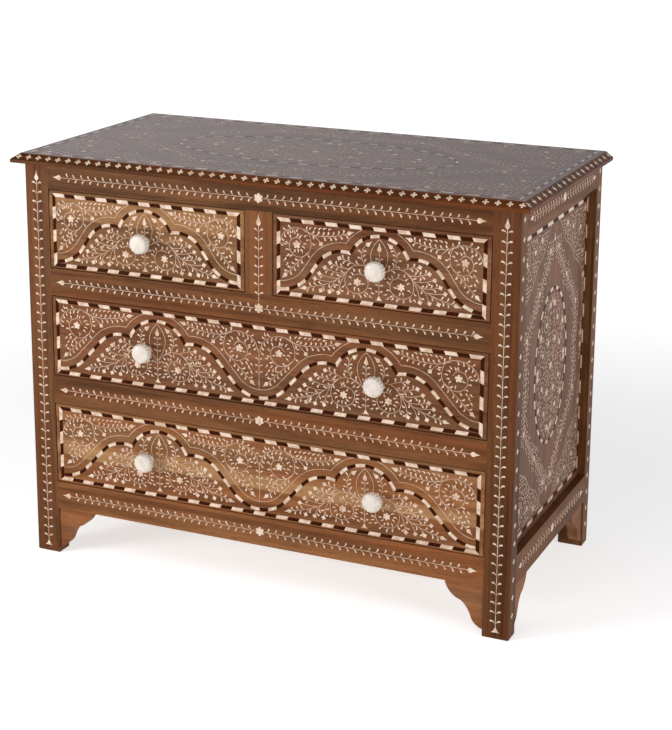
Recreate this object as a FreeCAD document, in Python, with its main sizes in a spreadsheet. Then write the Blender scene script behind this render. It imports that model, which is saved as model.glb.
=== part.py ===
"""Inlaid chest of drawers: four posts, mortised rails, panelled sides and four sliding drawers.

Millimetres. +X is right, -Y is front and +Z is up. The origin is on the floor, under the middle of
the whole outline, which runs from the knobs' domes to the back of the posts.
"""
import FreeCAD, Part
import math
import os
import re

import Sketcher

doc = FreeCAD.newDocument("inlaid_chest")

# Driving dimensions, one cell of the sheet each
DIMENSIONS = {
    # The case over its posts, and the heights from the floor up
    "case_width": 1000,
    "case_depth": 505,
    "foot_height": 97,
    "bottom_rail_height": 57,
    "bottom_opening": 165,
    "lower_rail_height": 57,
    "middle_opening": 163,
    "upper_rail_height": 54,
    "top_opening": 156,
    "top_rail_height": 49,
    # The top board and its moulded edge
    "top_thickness": 18,
    "top_overhang": 20,
    "bevel_width": 15,
    "bevel_drop": 11,
    "nose_radius": 2.5,
    # Posts, rails and stile
    "post_width": 51,
    "post_depth": 34,
    "post_arris": 1.5,
    "foot_ease": 2,
    "rail_thickness": 26,
    "side_rail_thickness": 36,
    "stile_width": 56,
    "tenon_length": 22,
    "tenon_thickness": 10,
    "side_tenon_thickness": 8,
    "tenon_setback": 7,
    "tenon_shoulder": 8,
    "stile_tenon_length": 15,
    # Panels and the grooves that hold them
    "panel_thickness": 9,
    "panel_recess": 15.5,
    "groove_depth": 8,
    "rear_panel_thickness": 6,
    "rear_rabbet": 10,
    # Scrolled brackets under the bottom rails
    "bracket_thickness": 22,
    "bracket_recess": 3,
    "bracket_upper_width": 32,
    "bracket_upper_drop": 34.5,
    "bracket_upper_radius": 44,
    "bracket_hollow_width": 19,
    "bracket_hollow_drop": 27,
    "bracket_hollow_radius": 60,
    "bracket_lower_width": 21,
    "bracket_lower_drop": 22,
    "bracket_lower_radius": 33,
    "bracket_land": 3,
    # Runners, guides and kickers
    "runner_width": 30,
    "runner_thickness": 20,
    "guide_height": 30,
    "tongue_length": 6,
    "tongue_shoulder": 6,
    # Drawer boxes
    "drawer_front_thickness": 22,
    "drawer_side_thickness": 12,
    "drawer_back_thickness": 12,
    "drawer_bottom_thickness": 6,
    "drawer_bottom_lift": 10,
    "drawer_side_drop": 8,
    "drawer_back_drop": 6,
    "drawer_lap": 12,
    "drawer_groove": 5,
    "drawer_tail": 8,
    "front_arris": 0.8,
    # Knobs and the bolts that hold them
    "knob_radius": 19,
    "knob_height": 30,
    "knob_drop": 4,
    "knob_rim": 4,
    "knob_dome": 5,
    "knob_neck_radius": 7,
    "knob_foot_radius": 10,
    "knob_foot_height": 3,
    "knob_flare": 7,
    "scallop_radius": 3.2,
    "scallop_depth": 1,
    "knob_lip": 0.5,
    "bolt_radius": 2.5,
    "bolt_bite": 16,
    "bolt_head_radius": 5,
    "bolt_head_height": 3,
    # Screws up through the kickers into the top
    "screw_radius": 2.2,
    "screw_head_radius": 4.5,
    "screw_head_height": 3,
    "screw_grip": 22,
    "screw_bite": 10,
    "screw_inset": 60,
    # Fits and clearances
    "joint_fit": 0.1,
    "glue_space": 1,
    "panel_slack": 1,
    "drawer_gap": 1.5,
    "drawer_side_gap": 2,
    "runner_clearance": 0.3,
    "drawer_back_gap": 1,
    "screw_head_space": 0.5,
}
SCALLOPS = 12

sheet = doc.addObject("Spreadsheet::Sheet", "Dims")
for row, (alias, value) in enumerate(DIMENSIONS.items(), start=1):
    sheet.set(f"A{row}", alias)
    sheet.set(f"B{row}", str(value))
    sheet.setAlias(f"B{row}", alias)
doc.recompute()


def bound(expression):
    """The expression with every dimension's name pointing at its cell."""
    return re.sub(
        r"[a-z_]+", lambda word: f"Dims.{word[0]}" if word[0] in DIMENSIONS else word[0], expression
    )


# Planes and levels that several pieces share, as expressions on the dimensions
FRONT = "((knob_height - case_depth) / 2)"
BACK = "((knob_height + case_depth) / 2)"
OUTER = "(case_width / 2)"
INNER = "(case_width / 2 - post_width)"
BOTTOM_SILL = "(foot_height + bottom_rail_height)"
BOTTOM_HEAD = f"({BOTTOM_SILL} + bottom_opening)"
MIDDLE_SILL = f"({BOTTOM_HEAD} + lower_rail_height)"
MIDDLE_HEAD = f"({MIDDLE_SILL} + middle_opening)"
TOP_SILL = f"({MIDDLE_HEAD} + upper_rail_height)"
TOP_HEAD = f"({TOP_SILL} + top_opening)"
UNDERSIDE = f"({TOP_HEAD} + top_rail_height)"

RAIL_LEVELS = {
    "top": (TOP_HEAD, UNDERSIDE),
    "upper": (MIDDLE_HEAD, TOP_SILL),
    "lower": (BOTTOM_HEAD, MIDDLE_SILL),
    "bottom": ("foot_height", BOTTOM_SILL),
}
FRONT_RAIL = (FRONT, f"{FRONT} + rail_thickness")
REAR_RAIL = (
    f"{BACK} - rear_panel_thickness - rail_thickness",
    f"{BACK} - rear_panel_thickness",
)
FRONT_TENON = (f"{FRONT} + tenon_setback", f"{FRONT} + tenon_setback + tenon_thickness")
REAR_TENON = (f"{REAR_RAIL[0]} + tenon_setback", f"{REAR_RAIL[0]} + tenon_setback + tenon_thickness")
FRONT_POST = (FRONT, f"{FRONT} + post_depth")
REAR_POST = (f"{BACK} - post_depth", BACK)
BETWEEN_POSTS = (FRONT_POST[1], REAR_POST[0])
BETWEEN_RAILS = (FRONT_RAIL[1], REAR_RAIL[0])
STILE = ("-stile_width / 2", "stile_width / 2")
PANEL_BACK = f"({OUTER} - panel_recess - panel_thickness)"
PANEL_FACE = f"({OUTER} - panel_recess)"

pieces = []


def new_piece(name):
    """An empty body that will be written out under its own name."""
    piece = doc.addObject("PartDesign::Body", name)
    piece.Label = name
    pieces.append(piece)
    return piece


def block(piece, kind, name, x, y, z):
    """A rectangular stretch between (low, high) pairs, added to a piece or cut from it."""
    feature = piece.newObject(f"PartDesign::{kind}Box", name)
    for axis, extent, (low, high) in zip("xyz", ("Length", "Width", "Height"), (x, y, z)):
        feature.setExpression(f"Placement.Base.{axis}", bound(low))
        feature.setExpression(extent, bound(f"({high}) - ({low})"))
    return feature


def wood(piece, name, x, y, z):
    return block(piece, "Additive", name, x, y, z)


def cut(piece, name, x, y, z):
    return block(piece, "Subtractive", name, x, y, z)


def rod(piece, kind, name, centre, turn, radius, length):
    """A round stretch from a centre, along +Z before it is turned, added or cut."""
    feature = piece.newObject(f"PartDesign::{kind}Cylinder", name)
    feature.Placement = FreeCAD.Placement(FreeCAD.Vector(), turn)
    for axis, place in zip("xyz", centre):
        feature.setExpression(f"Placement.Base.{axis}", bound(place))
    feature.setExpression("Radius", bound(radius))
    feature.setExpression("Height", bound(length))
    return feature


UPRIGHT = FreeCAD.Rotation()
TO_FRONT = FreeCAD.Rotation(FreeCAD.Vector(1, 0, 0), 90)


def group(name, members):
    """Several like solids written out together under one name."""
    together = doc.addObject("Part::Compound", name)
    together.Label = name
    together.Links = members
    for member in members:
        pieces.remove(member)
    pieces.append(together)
    return together


def across(side, near, far):
    """An X pair on the left (-1) or right (+1), from distances out from the middle."""
    return (near, far) if side > 0 else (f"-({far})", f"-({near})")


def eased(pair, by="joint_fit"):
    """A pair widened at both ends by a fit."""
    return (f"{pair[0]} - {by}", f"{pair[1]} + {by}")


def shouldered(low, high):
    """The height of a tenon between its two shoulders."""
    return (f"{low} + tenon_shoulder", f"{high} - tenon_shoulder")


def edges_where(feature, test):
    """Names of the edges of a feature whose corner points all pass a test."""
    return [
        f"Edge{number}"
        for number, edge in enumerate(feature.Shape.Edges, start=1)
        if all(test(corner.Point) for corner in edge.Vertexes)
    ]


def close(one, other):
    return math.isclose(one, other, abs_tol=1e-6)


def dress(piece, kind, name, edges, size_name, size):
    """A fillet or chamfer on named edges of a piece's last feature."""
    feature = piece.newObject(f"PartDesign::{kind}", name)
    feature.Base = (feature.BaseFeature, edges)
    feature.setExpression(size_name, bound(size))
    return feature


def plane_sketch(piece, role, name):
    """A sketch on one of a piece's own origin planes."""
    sketch = piece.newObject("Sketcher::SketchObject", name)
    plane = next(item for item in piece.Origin.OriginFeatures if item.Role == role)
    sketch.AttachmentSupport = [(plane, "")]
    sketch.MapMode = "FlatFace"
    return sketch


def pin_point(sketch, line, end, across_sheet, up_sheet):
    """Fixes one end of a line by its two distances from the sketch's origin."""
    for kind, place in (("DistanceX", across_sheet), ("DistanceY", up_sheet)):
        number = sketch.addConstraint(Sketcher.Constraint(kind, -1, 1, line, end, value_of(place)))
        sketch.setExpression(f"Constraints[{number}]", bound(place))


def value_of(expression):
    """The present value of an expression, to start a sketch near its solved shape."""
    return float(sheet.evalExpression(bound(expression)))


def add_polygon(sketch, points):
    """A closed outline through points, each pinned by a pair of expressions."""
    corners = [FreeCAD.Vector(value_of(x), value_of(y), 0) for x, y in points]
    lines = [
        sketch.addGeometry(Part.LineSegment(start, end), False)
        for start, end in zip(corners, corners[1:] + corners[:1])
    ]
    for line, following in zip(lines, lines[1:] + lines[:1]):
        sketch.addConstraint(Sketcher.Constraint("Coincident", line, 2, following, 1))
    for line, (x, y) in zip(lines, points):
        pin_point(sketch, line, 1, x, y)


# Which drawer bearers meet each rail, and the tongues that hold them
BEARERS = {
    "left": across(-1, f"{INNER} - runner_width", INNER),
    "right": across(1, f"{INNER} - runner_width", INNER),
    "centre": ("-stile_width / 2 - runner_width", "stile_width / 2 + runner_width"),
}


def bearers_at(level):
    return ("left", "right", "centre") if level in ("top", "upper") else ("left", "right")


def tongue_height(level):
    low, high = RAIL_LEVELS[level]
    if level == "top":
        return shouldered(low, high)
    return (f"{high} - runner_thickness + tongue_shoulder", f"{high} - tongue_shoulder")


def tongue_width(place):
    low, high = BEARERS[place]
    return (f"{low} + tongue_shoulder", f"{high} - tongue_shoulder")


# Corner posts: square stock, mortised on two faces, grooved for the side panels
SIDE_TENON = (f"{OUTER} - tenon_setback - side_tenon_thickness", f"{OUTER} - tenon_setback")


def post(name, side, at_front):
    piece = new_piece(name)
    depth = FRONT_POST if at_front else REAR_POST
    wood(piece, "Blank", across(side, INNER, OUTER), depth, ("0", UNDERSIDE))
    rail_tenon = FRONT_TENON if at_front else REAR_TENON
    mortise_end = f"{INNER} + tenon_length + glue_space"
    for level, (low, high) in RAIL_LEVELS.items():
        height = eased(shouldered(low, high))
        cut(piece, f"{level}_mortise", across(side, INNER, mortise_end), eased(rail_tenon), height)
    inward = (f"{depth[1]} - {{}}", depth[1]) if at_front else (depth[0], f"{depth[0]} + {{}}")
    mortise_depth = [place.format("tenon_length - glue_space") for place in inward]
    groove = [place.format("groove_depth") for place in inward]
    for level in ("top", "bottom"):
        height = eased(shouldered(*RAIL_LEVELS[level]))
        cut(piece, f"{level}_side_mortise", eased(across(side, *SIDE_TENON)), mortise_depth, height)
    groove_height = (f"{BOTTOM_SILL} - groove_depth", f"{TOP_HEAD} + groove_depth")
    cut(piece, "panel_groove", eased(across(side, PANEL_BACK, PANEL_FACE)), groove, groove_height)
    if not at_front:
        rabbet = across(side, INNER, f"{INNER} + rear_rabbet")
        back_strip = (f"{BACK} - rear_panel_thickness", BACK)
        cut(piece, "rear_rabbet", rabbet, back_strip, ("foot_height", UNDERSIDE))
    doc.recompute()
    box = piece.Shape.BoundBox
    corner_x = box.XMax if side > 0 else box.XMin
    corner_y = box.YMin if at_front else box.YMax
    corner = edges_where(piece.Tip, lambda at: close(at.x, corner_x) and close(at.y, corner_y))
    dress(piece, "Chamfer", "outer_arris", corner, "Size", "post_arris")
    doc.recompute()
    sole = edges_where(piece.Tip, lambda at: close(at.z, 0))
    dress(piece, "Chamfer", "eased_foot", sole, "Size", "foot_ease")


post("front_left_post", -1, True)
post("front_right_post", 1, True)
post("rear_left_post", -1, False)
post("rear_right_post", 1, False)


# Cross rails, tenoned into the posts, with small mortises for the drawer bearers
def cross_rail(name, level, at_front):
    piece = new_piece(name)
    low, high = RAIL_LEVELS[level]
    depth = FRONT_RAIL if at_front else REAR_RAIL
    tenon_depth = FRONT_TENON if at_front else REAR_TENON
    wood(piece, "Blank", (f"-{INNER}", INNER), depth, (low, high))
    for side in (-1, 1):
        tenon = across(side, INNER, f"{INNER} + tenon_length")
        wood(piece, "Tenon", tenon, tenon_depth, shouldered(low, high))
    if at_front:
        socket = (f"{depth[1]} - tongue_length - glue_space", depth[1])
    else:
        socket = (depth[0], f"{depth[0]} + tongue_length + glue_space")
    for place in bearers_at(level):
        cut(piece, "Socket", eased(tongue_width(place)), socket, eased(tongue_height(level)))
    return piece


STILE_TENON = ("-stile_width / 2 + tenon_shoulder", "stile_width / 2 - tenon_shoulder")
for level in RAIL_LEVELS:
    front_rail = cross_rail(f"front_{level}_rail", level, True)
    if level == "top":
        socket = (TOP_HEAD, f"{TOP_HEAD} + stile_tenon_length + glue_space")
        cut(front_rail, "Stile_socket", eased(STILE_TENON), eased(FRONT_TENON), socket)
    if level == "upper":
        socket = (f"{TOP_SILL} - stile_tenon_length - glue_space", TOP_SILL)
        cut(front_rail, "Stile_socket", eased(STILE_TENON), eased(FRONT_TENON), socket)
    cross_rail(f"rear_{level}_rail", level, False)

# Centre stile between the two small drawers
stile = new_piece("centre_stile")
wood(stile, "Blank", STILE, FRONT_RAIL, (TOP_SILL, TOP_HEAD))
wood(stile, "Foot_tenon", STILE_TENON, FRONT_TENON, (f"{TOP_SILL} - stile_tenon_length", TOP_SILL))
wood(stile, "Head_tenon", STILE_TENON, FRONT_TENON, (TOP_HEAD, f"{TOP_HEAD} + stile_tenon_length"))


# Side frames: two rails tenoned between the posts, and a panel let into grooves all round
def side_frame(word, side):
    for level in ("top", "bottom"):
        low, high = RAIL_LEVELS[level]
        piece = new_piece(f"{word}_{level}_rail")
        width = across(side, f"{OUTER} - side_rail_thickness", OUTER)
        wood(piece, "Blank", width, BETWEEN_POSTS, (low, high))
        ahead = (f"{BETWEEN_POSTS[0]} - tenon_length + 2 * glue_space", BETWEEN_POSTS[0])
        behind = (BETWEEN_POSTS[1], f"{BETWEEN_POSTS[1]} + tenon_length - 2 * glue_space")
        for tenon in (ahead, behind):
            wood(piece, "Tenon", across(side, *SIDE_TENON), tenon, shouldered(low, high))
        groove = (low, f"{low} + groove_depth") if level == "top" else (f"{high} - groove_depth", high)
        cut(piece, "Groove", eased(across(side, PANEL_BACK, PANEL_FACE)), BETWEEN_POSTS, groove)
    panel = new_piece(f"{word}_side_panel")
    length = eased(BETWEEN_POSTS, "(groove_depth - panel_slack)")
    height = (f"{BOTTOM_SILL} - groove_depth", f"{TOP_HEAD} + groove_depth - panel_slack")
    wood(panel, "Board", across(side, PANEL_BACK, PANEL_FACE), length, height)


side_frame("left", -1)
side_frame("right", 1)

# Back board, laid in the rear posts' rabbets against the rear rails
rear_panel = new_piece("rear_panel")
rear_width = f"({INNER} + rear_rabbet - panel_slack)"
wood(
    rear_panel,
    "Board",
    (f"-{rear_width}", rear_width),
    (f"{BACK} - rear_panel_thickness", BACK),
    ("foot_height", UNDERSIDE),
)

# Top board: bevelled on three sides above a small rounded nose, square at the back
TOP_SIDE = f"({OUTER} + top_overhang)"
TOP_FRONT = f"({FRONT} - top_overhang)"
TOP_HEIGHT = f"({UNDERSIDE} + top_thickness)"
top = new_piece("top_panel")
wood(top, "Board", (f"-{TOP_SIDE}", TOP_SIDE), (TOP_FRONT, BACK), (UNDERSIDE, TOP_HEIGHT))
front_bevel = plane_sketch(top, "YZ_Plane", "Front_bevel")
add_polygon(
    front_bevel,
    [
        (TOP_FRONT, f"{TOP_HEIGHT} - bevel_drop"),
        (f"{TOP_FRONT} + bevel_width", TOP_HEIGHT),
        (TOP_FRONT, TOP_HEIGHT),
    ],
)
side_bevels = plane_sketch(top, "XZ_Plane", "Side_bevels")
for outward in ("", "-"):
    add_polygon(
        side_bevels,
        [
            (f"{outward}{TOP_SIDE}", f"{TOP_HEIGHT} - bevel_drop"),
            (f"{outward}({TOP_SIDE} - bevel_width)", TOP_HEIGHT),
            (f"{outward}{TOP_SIDE}", TOP_HEIGHT),
        ],
    )
for sketch in (front_bevel, side_bevels):
    doc.recompute()
    before = top.Shape.Volume
    bevel = top.newObject("PartDesign::Pocket", f"{sketch.Name}_cut")
    bevel.Profile = sketch
    bevel.Type = "ThroughAll"
    bevel.SideType = "Symmetric"
    doc.recompute()
    if not top.Shape.Volume < before:
        raise RuntimeError(f"{sketch.Name} cut nothing")
box = top.Shape.BoundBox
lip = edges_where(top.Tip, lambda at: at.z < box.ZMax - 1e-6)
lip = [
    name
    for name in lip
    if not all(close(corner.Point.y, box.YMax) for corner in top.Tip.getSubObject(name).Vertexes)
    and close(top.Tip.getSubObject(name).BoundBox.ZLength, 0)
]
dress(top, "Fillet", "Nose", lip, "Radius", "nose_radius")

# Screw places, two in each kicker
SCREW_X = {
    "left": f"-({INNER} - runner_width / 2)",
    "right": f"({INNER} - runner_width / 2)",
    "centre": "0",
}
SCREW_Y = (f"{BETWEEN_RAILS[0]} + screw_inset", f"{BETWEEN_RAILS[1]} - screw_inset")
SCREW_SEAT = f"({UNDERSIDE} - screw_grip)"
for x in SCREW_X.values():
    for y in SCREW_Y:
        rod(
            top,
            "Subtractive",
            "Screw_hole",
            (x, y, UNDERSIDE),
            UPRIGHT,
            "screw_radius + joint_fit",
            "screw_bite + glue_space",
        )


# Kickers under the top, and runners with their guides under each drawer
def tongues(piece, place, level):
    ahead = (f"{BETWEEN_RAILS[0]} - tongue_length", BETWEEN_RAILS[0])
    behind = (BETWEEN_RAILS[1], f"{BETWEEN_RAILS[1]} + tongue_length")
    for depth in (ahead, behind):
        wood(piece, "Tongue", tongue_width(place), depth, tongue_height(level))


kickers = []
for place in bearers_at("top"):
    kicker = new_piece(f"{place}_kicker")
    wood(kicker, "Blank", BEARERS[place], BETWEEN_RAILS, RAIL_LEVELS["top"])
    tongues(kicker, place, "top")
    for y in SCREW_Y:
        centre = (SCREW_X[place], y, TOP_HEAD)
        head_room = "screw_head_radius + screw_head_space"
        rod(kicker, "Subtractive", "Counterbore", centre, UPRIGHT, head_room, f"{SCREW_SEAT} - {TOP_HEAD}")
        hole = "screw_radius + joint_fit"
        rod(kicker, "Subtractive", "Screw_hole", centre, UPRIGHT, hole, "top_rail_height")
    kickers.append(kicker)
group("kickers", kickers)

screws = []
for place, x in SCREW_X.items():
    for number, y in enumerate(SCREW_Y, start=1):
        screw = new_piece(f"{place}_screw_{number}")
        head = (x, y, f"{SCREW_SEAT} - screw_head_height")
        rod(screw, "Additive", "Head", head, UPRIGHT, "screw_head_radius", "screw_head_height")
        shank = (x, y, SCREW_SEAT)
        rod(screw, "Additive", "Shank", shank, UPRIGHT, "screw_radius", "screw_grip + screw_bite")
        screws.append(screw)
group("top_screws", screws)


def runner(place, level):
    """A bearer under a drawer's side; the outer ones carry a guide beside the drawer."""
    piece = new_piece(f"{level}_{place}_runner")
    sill = RAIL_LEVELS[level][1]
    thickness = (f"{sill} - runner_thickness", sill)
    above = (sill, f"{sill} + guide_height")
    wood(piece, "Blank", BEARERS[place], BETWEEN_RAILS, thickness)
    tongues(piece, place, level)
    if place == "centre":
        wood(piece, "Guide", STILE, BETWEEN_RAILS, above)
        return piece
    side = 1 if place == "right" else -1
    ledge = across(side, INNER, f"{OUTER} - side_rail_thickness")
    wood(piece, "Ledge", ledge, BETWEEN_POSTS, thickness)
    wood(piece, "Guide", across(side, INNER, PANEL_BACK), BETWEEN_POSTS, above)
    return piece


for level in ("upper", "lower", "bottom"):
    group(f"{level}_runners", [runner(place, level) for place in bearers_at(level)])


# Scrolled brackets: two rounded lobes with a hollow between, glued under the rails beside the posts
BRACKET_WIDTH = "(bracket_land + bracket_lower_width + bracket_hollow_width + bracket_upper_width)"
BRACKET_DROP = "(bracket_upper_drop + bracket_hollow_drop + bracket_lower_drop)"
BRACKET_CORNER = ("0", "0")
BRACKET_END = (BRACKET_WIDTH, "0")
UPPER_MEETS_HOLLOW = (f"{BRACKET_WIDTH} - bracket_upper_width", "-bracket_upper_drop")
HOLLOW_MEETS_LOWER = ("bracket_land + bracket_lower_width", "-(bracket_upper_drop + bracket_hollow_drop)")
BRACKET_LAND_END = ("bracket_land", f"-{BRACKET_DROP}")
BRACKET_FOOT = ("0", f"-{BRACKET_DROP}")


def bracket(name, turn, corner):
    """A bracket that grows from its corner along +X before it is turned about the upright."""
    piece = new_piece(name)
    sketch = plane_sketch(piece, "XZ_Plane", "Scroll")

    def line(start, end):
        ends = [FreeCAD.Vector(value_of(x), value_of(y), 0) for x, y in (start, end)]
        return sketch.addGeometry(Part.LineSegment(*ends), False)

    def curve(start, end, radius):
        """An arc that leaves its centre on the left on the way from start to end."""
        x1, y1, x2, y2 = (value_of(place) for place in start + end)
        size = value_of(radius)
        chord = math.hypot(x2 - x1, y2 - y1)
        off = math.sqrt(size**2 - chord**2 / 4) / chord
        centre = FreeCAD.Vector((x1 + x2) / 2 - (y2 - y1) * off, (y1 + y2) / 2 + (x2 - x1) * off, 0)
        circle = Part.Circle(centre, FreeCAD.Vector(0, 0, 1), size)
        first = math.atan2(y1 - centre.y, x1 - centre.x)
        last = math.atan2(y2 - centre.y, x2 - centre.x)
        arc = sketch.addGeometry(Part.ArcOfCircle(circle, first, last), False)
        number = sketch.addConstraint(Sketcher.Constraint("Radius", arc, size))
        sketch.setExpression(f"Constraints[{number}]", bound(radius))
        return arc

    head = line(BRACKET_CORNER, BRACKET_END)
    upper = curve(UPPER_MEETS_HOLLOW, BRACKET_END, "bracket_upper_radius")
    hollow = curve(UPPER_MEETS_HOLLOW, HOLLOW_MEETS_LOWER, "bracket_hollow_radius")
    lower = curve(BRACKET_LAND_END, HOLLOW_MEETS_LOWER, "bracket_lower_radius")
    land = line(BRACKET_LAND_END, BRACKET_FOOT)
    post_edge = line(BRACKET_FOOT, BRACKET_CORNER)
    joined = (
        (head, 1, -1, 1),
        (head, 2, upper, 2),
        (upper, 1, hollow, 1),
        (hollow, 2, lower, 2),
        (lower, 1, land, 1),
        (land, 2, post_edge, 1),
        (post_edge, 2, head, 1),
    )
    for ends in joined:
        sketch.addConstraint(Sketcher.Constraint("Coincident", *ends))
    sketch.addConstraint(Sketcher.Constraint("Horizontal", land))
    sketch.addConstraint(Sketcher.Constraint("Vertical", post_edge))
    pin_point(sketch, head, 2, *BRACKET_END)
    pin_point(sketch, upper, 1, *UPPER_MEETS_HOLLOW)
    pin_point(sketch, hollow, 2, *HOLLOW_MEETS_LOWER)
    pin_point(sketch, lower, 1, *BRACKET_LAND_END)
    board = piece.newObject("PartDesign::Pad", "Board")
    board.Profile = sketch
    board.SideType = "Symmetric"
    board.setExpression("Length", bound("bracket_thickness"))
    piece.Placement = FreeCAD.Placement(
        FreeCAD.Vector(), FreeCAD.Rotation(FreeCAD.Vector(0, 0, 1), turn)
    )
    for axis, place in zip("xyz", corner):
        piece.setExpression(f"Placement.Base.{axis}", bound(place))


BRACKET_MIDDLE = "(bracket_recess + bracket_thickness / 2)"
for word, side, turn in (("left", "-", 0), ("right", "", 180)):
    bracket(
        f"front_{word}_bracket",
        turn,
        (f"{side}{INNER}", f"{FRONT} + {BRACKET_MIDDLE}", "foot_height"),
    )
    beside = f"{side}({OUTER} - {BRACKET_MIDDLE})"
    bracket(f"{word}_front_bracket", 90, (beside, BETWEEN_POSTS[0], "foot_height"))
    bracket(f"{word}_rear_bracket", -90, (beside, BETWEEN_POSTS[1], "foot_height"))


# Knobs: turned mushrooms with a scalloped rim, standing on a small foot
def knob(name, x, z):
    piece = new_piece(name)
    sketch = plane_sketch(piece, "XZ_Plane", "Profile")
    rim_top = "(knob_height - knob_dome)"
    rim_low = f"({rim_top} - knob_rim)"
    head_radius = "(knob_radius - scallop_depth - knob_lip)"
    profile = [
        ("0", "0"),
        ("knob_foot_radius", "0"),
        ("knob_neck_radius", "knob_foot_height"),
        ("knob_neck_radius", f"{rim_low} - knob_flare"),
        (head_radius, rim_low),
        (head_radius, rim_top),
    ]
    corners = [FreeCAD.Vector(value_of(across_), value_of(up), 0) for across_, up in profile]
    crown = FreeCAD.Vector(0, value_of("knob_height"), 0)
    lines = [
        sketch.addGeometry(Part.LineSegment(start, end), False)
        for start, end in zip([crown] + corners[:-1], corners)
    ]
    rim = corners[-1]
    rise = crown.y - rim.y
    dome_radius = (rim.x**2 + rise**2) / (2 * rise)
    centre = FreeCAD.Vector(0, crown.y - dome_radius, 0)
    start = math.atan2(rim.y - centre.y, rim.x)
    dome_circle = Part.Circle(centre, FreeCAD.Vector(0, 0, 1), dome_radius)
    dome = sketch.addGeometry(Part.ArcOfCircle(dome_circle, start, math.pi / 2), False)
    for line, following in zip(lines, lines[1:]):
        sketch.addConstraint(Sketcher.Constraint("Coincident", line, 2, following, 1))
    sketch.addConstraint(Sketcher.Constraint("Coincident", lines[-1], 2, dome, 1))
    sketch.addConstraint(Sketcher.Constraint("Coincident", dome, 2, lines[0], 1))
    sketch.addConstraint(Sketcher.Constraint("PointOnObject", dome, 3, -2))
    pin_point(sketch, lines[0], 1, "0", "knob_height")
    for line, (out, up) in zip(lines, profile):
        pin_point(sketch, line, 2, out, up)
    turned = piece.newObject("PartDesign::Revolution", "Turned")
    turned.Profile = sketch
    turned.ReferenceAxis = (sketch, ["V_Axis"])
    turned.Angle = 360
    rod(piece, "Additive", "Rim", ("0", "0", rim_low), UPRIGHT, "knob_radius", "knob_rim")
    notch_place = ("knob_radius + scallop_radius - scallop_depth", "0", rim_low)
    notch = rod(piece, "Subtractive", "Notch", notch_place, UPRIGHT, "scallop_radius", "knob_rim")
    doc.recompute()
    notches = piece.newObject("PartDesign::PolarPattern", "Scallops")
    notches.Originals = [notch]
    upright = next(item for item in piece.Origin.OriginFeatures if item.Role == "Z_Axis")
    notches.Axis = (upright, [""])
    notches.Angle = 360
    notches.Occurrences = SCALLOPS
    piece.Tip = notches
    rod(
        piece,
        "Subtractive",
        "Bolt_hole",
        ("0", "0", "0"),
        UPRIGHT,
        "bolt_radius + joint_fit",
        "bolt_bite + glue_space",
    )
    piece.Placement = FreeCAD.Placement(FreeCAD.Vector(), TO_FRONT)
    for axis, place in zip("xyz", (x, FRONT, z)):
        piece.setExpression(f"Placement.Base.{axis}", bound(place))
    return piece


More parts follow.
